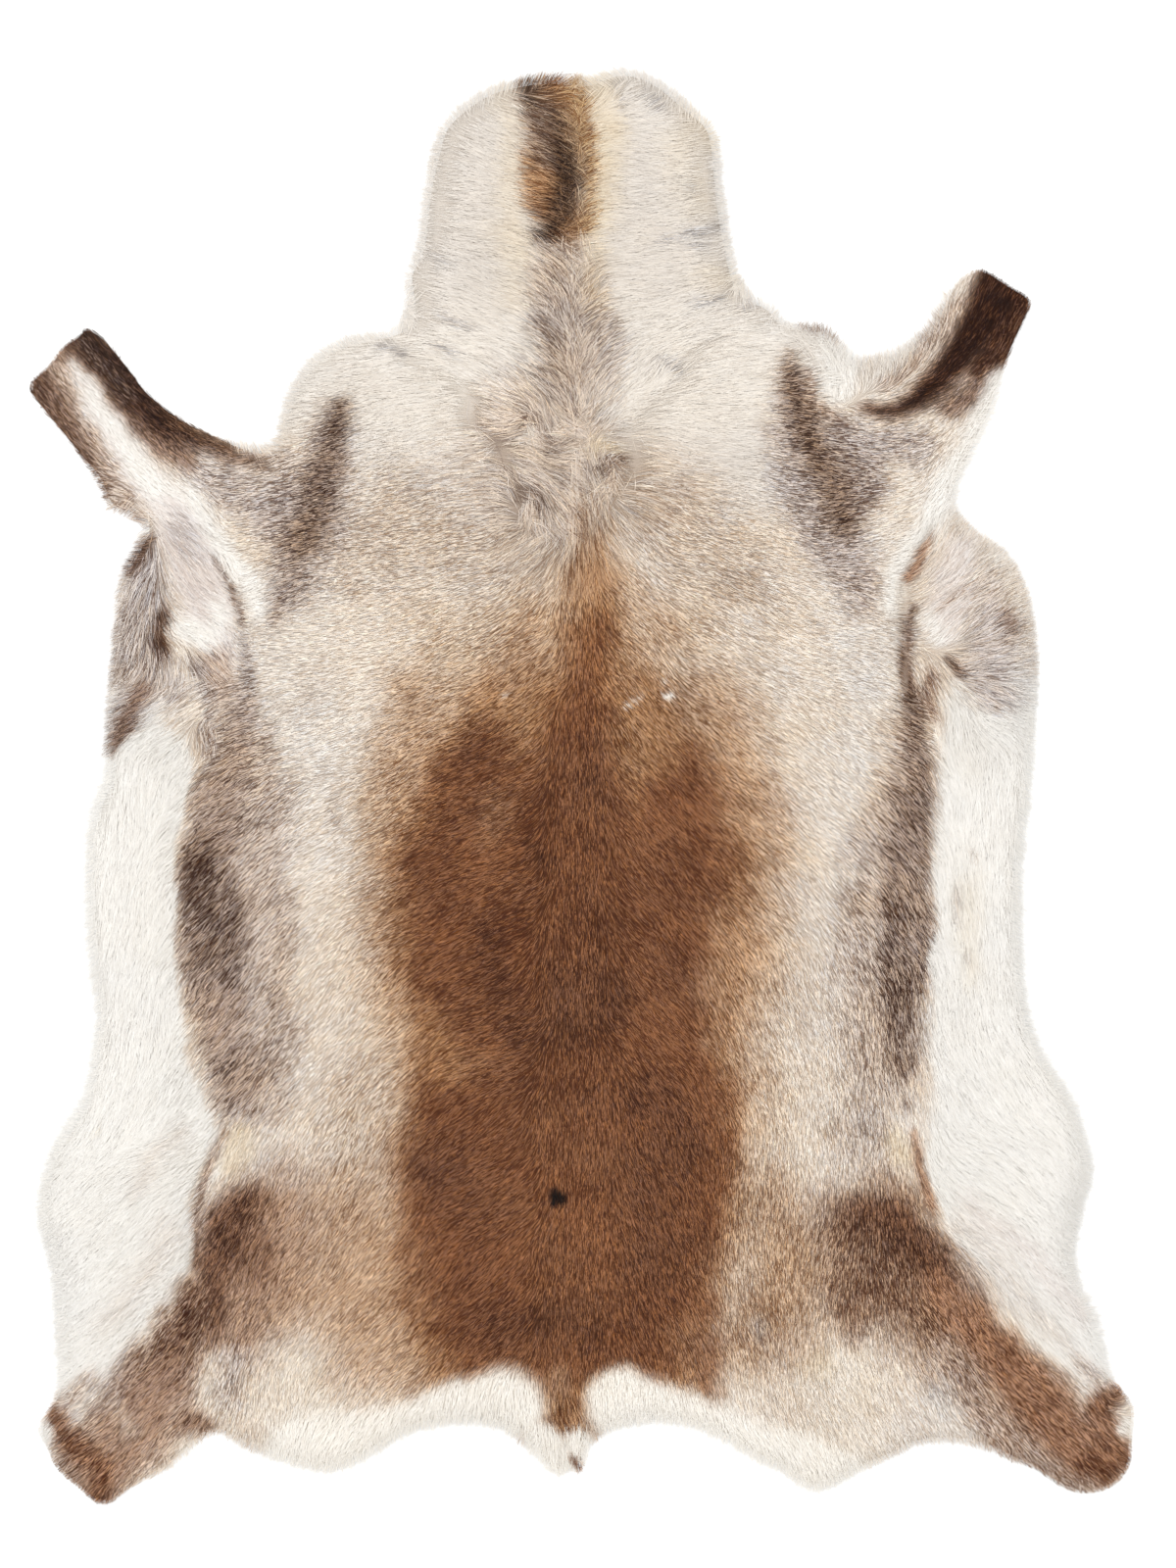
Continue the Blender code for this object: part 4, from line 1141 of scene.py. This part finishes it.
# %% The underwool piece
WOOL_STEP = 8 * MM
WOOL_DEPTH = 2.2 * MM
WOOL_LUMP, WOOL_LUMP_SIZE = 0.7 * MM, 16 * MM
WOOL_INSET = (1.05, 0.3 * MM)
WOOL_IN_SKIN, LEAST_WOOL = 0.6, 0.25 * MM
# The wool's colour is multiplied by these as painted shade, deeper under dark hair than under pale.
PALE_WOOL_PAINTED_SHADE, DARK_WOOL_PAINTED_SHADE, PALE_FROM_TO = 0.96, 0.74, (0.15, 0.7)
WOOL_SHARE, WOOL_SHARE_GAIN = 0.15, 0.7


def wool_heights(x, y):
    """From just above the skin up to a little below the coat's surface, with soft lumps."""
    low, skin_top = skin_heights(x, y)
    top = coat.at(x, y) - WOOL_DEPTH + WOOL_LUMP * cloudy(x, y, WOOL_LUMP_SIZE, 71)
    base = low + WOOL_IN_SKIN * (skin_top - low)
    return base, np.maximum(top, skin_top + LEAST_WOOL)


def colour_points(mesh, label, colours):
    """Stores one linear colour for each point of the mesh."""
    layer = mesh.color_attributes.new(label, "FLOAT_COLOR", "POINT")
    layer.data.foreach_set("color", np.column_stack([colours, np.ones(len(colours))]).ravel())


def wool_colours_with_painted_shade(x, y):
    """The mean of the light and the dark hair by their share, then darkened as painted shade, most where
    it is dark.
    """
    here = paint.at(x, y)
    share = WOOL_SHARE + WOOL_SHARE_GAIN * here[:, 6:7]
    light = to_linear(here[:, 0:3] * (1 - share) + here[:, 3:6] * share)
    pale = smooth_step(*PALE_FROM_TO, light.mean(1))[:, None]
    # Painted shade: the wool is darkened, less where it is pale.
    return light * (DARK_WOOL_PAINTED_SHADE + (PALE_WOOL_PAINTED_SHADE - DARK_WOOL_PAINTED_SHADE) * pale)


wool_mesh = sheet_mesh("underwool", WOOL_STEP, inset_by(*WOOL_INSET), wool_heights)
wool_points = points_of(wool_mesh)
# The wool's colours carry its painted shade.
colour_points(wool_mesh, "wool_colour_with_painted_shade", wool_colours_with_painted_shade(wool_points[:, 0], wool_points[:, 1]))
underwool = placed("underwool", wool_mesh)
print(f"underwool: {len(wool_mesh.polygons)} faces, up to {wool_points[:, 2].max() / MM:.1f} mm")

# %% [markdown]
# ## The guard hairs
# Single hairs could be particles or curves, but each piece here is a mesh. The lightest mesh
# that still looks like a hair is a kite: two long thin triangles from a root, over a waist, to a
# tip. Its waist is pushed aside, so that the hair is bent, and rolled, so that neighbours catch
# the light differently. The hairs grow from a grid with one hair to a cell, each cell shaken, so
# that they cover evenly without rows. Five such coats lie over each other, each one piece, because
# one piece shouldn't pass 200,000 triangles.


# %% Where a coat's hairs grow
class Roots(NamedTuple):
    """The roots of one coat, with the column and row of each root's grid cell."""

    x: np.ndarray
    y: np.ndarray
    column: np.ndarray
    row: np.ndarray
    columns: int
    rows: int


HAIR_SPACING = 3.18 * MM
MOST_HAIRS = 97000
ROOT_INSET = (0.55, 0.4 * MM)  # behind the outline by this much of the fringe, and this more


def coat_roots(draw, shift):
    """One root in each cell of a grid over the hide, moved at random inside its cell. Roots
    outside the trimmed skin are dropped."""
    columns = int((cad_high.x - cad_low.x) / HAIR_SPACING) + 2
    rows = int((cad_high.y - cad_low.y) / HAIR_SPACING) + 2
    column, row = (each.ravel() for each in np.meshgrid(range(columns), range(rows), indexing="ij"))
    x = cad_low.x + (column - shift + draw.uniform(0, 1, column.size)) * HAIR_SPACING
    y = cad_low.y + (row - shift + draw.uniform(0, 1, row.size)) * HAIR_SPACING
    edge = ROOT_INSET[0] * growth.at(x, y)[:, 3] + ROOT_INSET[1]
    keep = np.nonzero(inside.at(x, y) > edge)[0][:MOST_HAIRS]
    return Roots(x[keep], y[keep], column[keep], row[keep], columns, rows)


# %% Where a hair's tip lies
TUFT_SIZE = 9 * MM
TUFT_WARP, TUFT_WARP_SIZE = 5 * MM, 21 * MM
TUFT_SHAKE = 0.35  # how far a tuft's centre lies off its cell's middle, in cells
TUFT_CELLS = 400
SURE_FROM = 0.55  # below this sureness some hairs lie the other way
CLOUD_TURN, CLOUD_TURN_SIZE = np.radians(14), 30 * MM
TUFT_TURN, HAIR_TURN = np.radians(12), np.radians(5)
CLOUD_UNTUFTED, TURN_UNTUFTED = 0.6, 0.3  # the shares of both turns where no tufts form
EDGE_TURN, EDGE_TURN_WIDTH, FULL_FRINGE = 1.8, 30 * MM, 8 * MM


def tuft_centres(x, y, seed):
    """Each hair belongs to the tuft of its grid cell. The cells are bent by noise, and each
    tuft's centre sits at random in its cell. Returns the centres and one random number a tuft."""
    bent_x = x + TUFT_WARP * soft_noise(x, y, TUFT_WARP_SIZE, seed)
    bent_y = y + TUFT_WARP * soft_noise(x, y, TUFT_WARP_SIZE, seed + 1)
    middle = TUFT_CELLS // 2
    i = np.floor(bent_x / TUFT_SIZE).astype(int) + middle
    j = np.floor(bent_y / TUFT_SIZE).astype(int) + middle
    table = np.random.default_rng(seed + 2).uniform(-1, 1, (3, TUFT_CELLS, TUFT_CELLS))
    centre_x = (i - middle + 0.5 + TUFT_SHAKE * table[0, i, j]) * TUFT_SIZE - (bent_x - x)
    centre_y = (j - middle + 0.5 + TUFT_SHAKE * table[1, i, j]) * TUFT_SIZE - (bent_y - y)
    return centre_x, centre_y, table[2, i, j]


def outward(x, y):
    """The unit direction in which the distance from the edge falls."""
    out_x = inside.at(x - MAP_STEP, y) - inside.at(x + MAP_STEP, y)
    out_y = inside.at(x, y - MAP_STEP) - inside.at(x, y + MAP_STEP)
    size = np.maximum(np.hypot(out_x, out_y), 1e-6)
    return out_x / size, out_y / size


def headings(roots, draw, tuft_number):
    """The lie at each root, turned by a cloud of noise, by its tuft and by its own whim, and
    turned outwards along the edge where the hair fringes past the skin. Where the lie's sense is
    unsure, some hairs lie the other way, so that no bare seam opens."""
    way = lie.at(roots.x, roots.y)
    angle = np.arctan2(way[:, 1], way[:, 0])
    unsure = 0.5 * (1 - smooth_step(0, SURE_FROM, way[:, 2]))
    angle = np.where(draw.uniform(0, 1, angle.size) < unsure, angle + np.pi, angle)
    tuft = growth.at(roots.x, roots.y)[:, 2]
    angle += CLOUD_TURN * cloudy(roots.x, roots.y, CLOUD_TURN_SIZE, 401) * (CLOUD_UNTUFTED + tuft)
    angle += TUFT_TURN * tuft_number * (TURN_UNTUFTED + tuft) + draw.normal(0, HAIR_TURN, angle.size)
    out_x, out_y = outward(roots.x, roots.y)
    reach = smooth_step(0, FULL_FRINGE, growth.at(roots.x, roots.y)[:, 3])
    chance = reach * (1 - smooth_step(0, EDGE_TURN_WIDTH, inside.at(roots.x, roots.y)))
    near = EDGE_TURN * (draw.uniform(0, 1, chance.size) < chance)
    x, y = np.cos(angle) + near * out_x, np.sin(angle) + near * out_y
    size = np.maximum(np.hypot(x, y), 1e-6)
    return x / size, y / size


# %% The colour of each hair
CLOUD_TONE, CLOUD_SIZE = 0.20, 55 * MM
MOTTLE_TONE, MOTTLE_SIZE = 0.14, 15 * MM
TUFT_TONE, HAIR_TONE, TONE_FROM_TO = 0.08, 0.48, (0.05, 0.95)
LEAST_CONTRAST, CONTRAST_FROM_TO = 0.15, (0.04, 0.28)
WARMTH, WARMTH_SIZE = np.array((0.022, 0.0, -0.035)), 40 * MM
HAIR_JITTER, HUE_JITTER = 0.055, 0.014
HUE_WAY = np.array((1.0, 0.2, -1.0))  # towards red and away from blue
# Painted light: pale hair is lightened towards the trimmed edge, where the rim otherwise renders in
# shade.
EDGE_PAINTED_LIGHT, EDGE_PAINTED_LIGHT_WIDTH, EDGE_LIGHT_FROM_TO = 0.20, 60 * MM, (0.62, 0.82)
DARKEST, PALEST = 0.01, 0.985


def cloud_tone(x, y, share):
    """The share of dark hairs, moved by wide clouds of noise and by a smaller mottle."""
    wide = CLOUD_TONE * cloudy(x, y, CLOUD_SIZE, 501)
    return share + wide + MOTTLE_TONE * cloudy(x, y, MOTTLE_SIZE, 521)


def hair_colours_with_edge_light(x, y, draw, tuft_number):
    """How dark a hair is: the share at its middle, moved by a cloud, by its tuft and at random,
    then sharpened. Its colour lies that far from the light to the dark shade. Pale hair is painted
    lighter towards the trimmed edge: painted light against the shade on the rim."""
    here = paint.at(x, y)
    tone = cloud_tone(x, y, here[:, 6]) + TUFT_TONE * tuft_number
    tone += HAIR_TONE * draw.uniform(-1, 1, x.size)
    tone = smooth_step(*TONE_FROM_TO, tone)[:, None]
    screen = here[:, 0:3] * (1 - tone) + here[:, 3:6] * tone
    gap = smooth_step(*CONTRAST_FROM_TO, (here[:, 0:3] - here[:, 3:6]).mean(1))[:, None]
    contrast = LEAST_CONTRAST + (1 - LEAST_CONTRAST) * gap
    screen = screen * (1 + contrast * cloudy(x, y, WARMTH_SIZE, 511)[:, None] * WARMTH)
    screen = screen * (1 + contrast * draw.normal(0, HAIR_JITTER, (x.size, 1)))
    screen = screen + contrast * draw.normal(0, HUE_JITTER, (x.size, 1)) * HUE_WAY
    # Painted light on pale hair near the trimmed edge.
    near_edge = 1 - smooth_step(-4 * MM, EDGE_PAINTED_LIGHT_WIDTH, inside.at(x, y))
    edge_light = EDGE_PAINTED_LIGHT * near_edge * smooth_step(*EDGE_LIGHT_FROM_TO, screen.mean(1))
    screen = screen + edge_light[:, None] * (1 - screen)
    return to_linear(np.clip(screen, DARKEST, PALEST))


# %% One coat of hair
HAIR_WIDTH = 0.62 * MM
# Painted shade: the root is darkened, less on pale hair, and the tip is lightened a touch, for the depth
# of the coat.
PALE_ROOT_PAINTED_SHADE, DARK_ROOT_PAINTED_SHADE, TIP_PAINTED_LIGHT = 0.99, 0.70, 1.02
PALE_ROLL, DARK_ROLL = np.radians(4), np.radians(26)
LENGTH_SPREAD, WIDTH_SPREAD, TUFT_PULL = (0.75, 1.2), (0.75, 1.25), (0.3, 1.0)
PAST_EDGE = (-1.0, 0.9)  # how far a tip may pass the outline, times the fringe
SHORTEST_KEPT = 0.25  # the share of a hair that stays when it would pass further
BEND, WAIST_AT = 0.04, (-0.1, 0.1)
COLOUR_AT = 0.7  # where along the hair its colour is read
PALE_HAIR = (0.12, 0.6)
FLOOR_GAP, DROOP, DROOP_FROM_TO = 0.4 * MM, 1.2 * MM, (4 * MM, -2 * MM)
ROOT_SINK, PALE_ROOT_RISE = 2.6, 1.2  # in millimetres below the coat
WAIST_SINK, WAIST_LIFT = 0.4 * MM, (-0.2, 0.9)
TIP_SINK, TIP_LIFT = 0.6 * MM, (-0.5, 1.2)
SLIM_AT_EDGE, SLIM_FROM_TO = 0.65, (-2 * MM, 16 * MM)
SHORT_HAIR_WIDTH, SLIMMER_PER_MM = 1.1, 0.012  # a long hair is slimmer than a short one


def hair_coat(name, seed, shift):
    """Kites from root to tip. The waist lies near the middle, pushed sideways by a bend, and its
    two corners half a width to each side, rolled about the hair. Tips draw together in tufts and
    stop just past the outline."""
    draw = np.random.default_rng(seed)
    roots = coat_roots(draw, shift)
    count = roots.x.size
    length, lift, tuft, fringe = growth.at(roots.x, roots.y).T
    centre_x, centre_y, tuft_number = tuft_centres(roots.x, roots.y, 600 + seed % 2)
    way_x, way_y = headings(roots, draw, tuft_number)
    length = length * draw.uniform(*LENGTH_SPREAD, count)
    pull = tuft * draw.uniform(*TUFT_PULL, count)
    tip_x = roots.x + way_x * length + pull * (centre_x - roots.x)
    tip_y = roots.y + way_y * length + pull * (centre_y - roots.y)
    past = draw.uniform(*PAST_EDGE, count) * fringe * smooth_step(0, 6 * MM, fringe)
    depth_root, depth_tip = inside.at(roots.x, roots.y), inside.at(tip_x, tip_y)
    keep = (depth_root + past) / np.maximum(depth_root - depth_tip, 1e-6)
    keep = np.where(depth_tip < -past, np.clip(keep, SHORTEST_KEPT, 1), 1)
    tip_x, tip_y = roots.x + keep * (tip_x - roots.x), roots.y + keep * (tip_y - roots.y)
    run_x, run_y = tip_x - roots.x, tip_y - roots.y
    length = np.maximum(np.hypot(run_x, run_y), 1e-5)
    side_x, side_y = run_y / length, -run_x / length
    bend = draw.normal(0, BEND, count) * (1 + tuft) * length
    waist = 0.5 + draw.uniform(*WAIST_AT, count)
    mid_x = roots.x + waist * run_x + bend * side_x
    mid_y = roots.y + waist * run_y + bend * side_y
    colour_x, colour_y = roots.x + COLOUR_AT * run_x, roots.y + COLOUR_AT * run_y
    colours = hair_colours_with_edge_light(colour_x, colour_y, draw, tuft_number)
    pale = smooth_step(*PALE_HAIR, colours.mean(1))
    root_z = coat.at(roots.x, roots.y) - (ROOT_SINK - PALE_ROOT_RISE * pale) * MM
    root_z = np.maximum(root_z, FLOOR_GAP)
    mid_z = coat.at(mid_x, mid_y) - WAIST_SINK + lift * draw.uniform(*WAIST_LIFT, count)
    tip_z = coat.at(tip_x, tip_y) - TIP_SINK + lift * draw.uniform(*TIP_LIFT, count)
    droop = smooth_step(*DROOP_FROM_TO, inside.at(tip_x, tip_y))
    tip_z = np.maximum(tip_z - droop * DROOP, FLOOR_GAP)
    slim = smooth_step(*SLIM_FROM_TO, inside.at(tip_x, tip_y))
    slim = SLIM_AT_EDGE + (1 - SLIM_AT_EDGE) * slim
    half = 0.5 * HAIR_WIDTH * draw.uniform(*WIDTH_SPREAD, count) * slim
    half = half * (SHORT_HAIR_WIDTH - SLIMMER_PER_MM * length / MM)
    roll = draw.uniform(-1, 1, count) * (DARK_ROLL + (PALE_ROLL - DARK_ROLL) * pale)
    wide, high = half * np.cos(roll), half * np.sin(roll)
    left_z, right_z = np.maximum(mid_z - high, FLOOR_GAP), np.maximum(mid_z + high, FLOOR_GAP)
    points = np.stack(
        [
            np.column_stack([roots.x, roots.y, root_z]),
            np.column_stack([mid_x + wide * side_x, mid_y + wide * side_y, right_z]),
            np.column_stack([tip_x, tip_y, tip_z]),
            np.column_stack([mid_x - wide * side_x, mid_y - wide * side_y, left_z]),
        ],
        axis=1,
    )
    full = np.ones(count)
    # Painted shade: each hair's colour is darkened at its root and lightened a touch at its tip.
    root_painted_shade = DARK_ROOT_PAINTED_SHADE + (PALE_ROOT_PAINTED_SHADE - DARK_ROOT_PAINTED_SHADE) * pale
    shades = np.stack([root_painted_shade, full, TIP_PAINTED_LIGHT * full, full], axis=1)
    return kites(name, roots, points, colours[:, None, :] * shades[:, :, None], length)


KITE_CORNERS = np.array(((0, 1, 3), (3, 1, 2)))
KITE_ON_MAP = np.array(((0.5, 0.06), (0.94, 0.5), (0.5, 0.94), (0.06, 0.5)))
KITE_ACROSS = np.array((0.0, 1.0, 0.0, -1.0))
KITE_ALONG = np.array((0.0, 0.5, 1.0, 0.5))
STRAND_APART = (10 * MM, 30 * MM)


def kites(name, roots, points, colours, length):
    """Two triangles a hair. The bake map shows the hide from above: each hair has the small
    square of its own grid cell. The strand map runs along each hair in metres."""
    count = len(points)
    corners = (np.arange(count)[:, None, None] * 4 + KITE_CORNERS).reshape(-1, 3)
    mesh = bpy.data.meshes.new(name)
    mesh.from_pydata(points.reshape(-1, 3), [], corners)
    mesh.polygons.foreach_set("use_smooth", np.ones(len(corners), bool))
    # These colours carry the painted root shade as well as the hair's own colour.
    colour_points(mesh, "hair_colour_with_painted_shade", np.clip(colours, 0, 1).reshape(-1, 3))
    cell = np.column_stack([roots.column, roots.row])[:, None, :]
    on_map = ((cell + KITE_ON_MAP) / np.array((roots.columns, roots.rows))).reshape(-1, 2)
    strand_x = roots.column[:, None] * STRAND_APART[0] + KITE_ACROSS * 0.5 * HAIR_WIDTH
    strand_y = roots.row[:, None] * STRAND_APART[1] + KITE_ALONG * length[:, None]
    strand = np.stack([strand_x, strand_y], axis=-1).reshape(-1, 2)
    for label, place in (("OFBake", on_map), ("strand", strand)):
        mesh.uv_layers.new(name=label).data.foreach_set("uv", place[corners.ravel()].ravel())
    low, high = points[..., 2].min() / MM, points[..., 2].max() / MM
    print(f"{name}: {count} hairs, {low:.1f} to {high:.1f} mm high")
    return placed(name, mesh)


COATS, FIRST_SEED = 5, 700
hair_coats = []
for k in range(COATS):
    hair_coats.append(hair_coat(f"guard_hair_{k + 1}", FIRST_SEED + k, k / COATS))

# %% [markdown]
# ## Finishes
# Hair is a smooth tube, so a hair shines softly along its length. Its colour is painted darker at
# the root and a touch lighter at the tip, painted shade for the depth of the coat. The wool below
# is dull. The suede of the flesh side is napped: fine fibres, a cloudy tone where the nap lies one
# way or the other, and a few paler scrape marks.

# %% Hair
def hair_finish():
    """Each hair's colour with its painted root shade, and fine streaks along it that also give it a
    little relief.
    """
    finish = Finish("guard_hair", Specular_IOR_Level=0.10)
    colour = finish.node("Attribute", {"attribute_name": "hair_colour_with_painted_shade"}, output="Color")
    place = finish.node("UVMap", {"uv_map": "strand"})
    stretched = finish.node("Mapping", Vector=place, Scale=(2600.0, 90.0, 1.0))
    streak = finish.node("TexNoise", Vector=stretched, Scale=1.0, Detail=2.0)
    darker = finish.mix(1.0, colour, (0.86, 0.85, 0.84, 1), "MULTIPLY")
    streaked = finish.mix(streak, colour, darker)
    return finish.paint(streaked, 0.46 + streak * 0.25, streak, Strength=0.25, Distance=0.0003)


hair_material = hair_finish()
for piece in hair_coats:
    piece.data.materials.append(hair_material)

# %% Underwool and suede
def wool_finish():
    """The markings' colour with its painted shade, broken up by a fine crimp and by cloudy felting."""
    finish = Finish("underwool", Specular_IOR_Level=0.1)
    colour = finish.node("Attribute", {"attribute_name": "wool_colour_with_painted_shade"}, output="Color")
    place = finish.node("TexCoord", output=3)
    crimp = finish.node("TexNoise", Vector=place, Scale=700.0, Detail=3.0)
    felting = finish.node("TexNoise", Vector=place, Scale=90.0, Detail=4.0)
    dark = finish.mix(1.0, colour, (0.76, 0.74, 0.72, 1), "MULTIPLY")
    felted = finish.mix(crimp * 0.6 + felting * 0.4, colour, dark)
    rough, height = 0.80 + felting * 0.18, crimp + felting
    return finish.paint(felted, rough, height, Strength=0.8, Distance=0.0012)


def suede_finish():
    """Napped flesh side: cream and buff clouds, fine fibres, and long faint scrape marks."""
    finish = Finish("flesh_suede", Specular_IOR_Level=0.15, Sheen_Weight=0.25, Sheen_Roughness=0.5)
    place = finish.node("TexCoord", output=3)
    clouds = finish.node("TexNoise", Vector=place, Scale=9.0, Detail=5.0)
    nap = finish.node("TexNoise", Vector=place, Scale=900.0, Detail=4.0)
    long_way = finish.node("Mapping", Vector=place, Scale=(60.0, 7.0, 60.0))
    scrape = finish.node("TexNoise", Vector=long_way, Scale=1.0, Detail=6.0)
    pale, buff = linear(233, 222, 204), linear(206, 188, 164)
    body = finish.mix(clouds * 1.6 - 0.35, pale, buff)
    body = finish.mix(scrape * 0.5, body, linear(242, 235, 222))
    body = finish.mix(nap * 0.5, body, linear(190, 170, 146))
    rough, height = 0.82 + nap * 0.15, nap + scrape * 0.6
    return finish.paint(body, rough, height, Strength=0.5, Distance=0.0008)


underwool.data.materials.append(wool_finish())
skin.data.materials.append(suede_finish())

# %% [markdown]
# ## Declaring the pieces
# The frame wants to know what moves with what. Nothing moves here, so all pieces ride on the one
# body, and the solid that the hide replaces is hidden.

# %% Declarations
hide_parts("hide")
for piece in (skin, underwool, *hair_coats):
    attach(piece, "root")
skin_points = points_of(skin_mesh)
skin_area = float((inside.values > skin_inset.values).sum() * MAP_STEP**2)
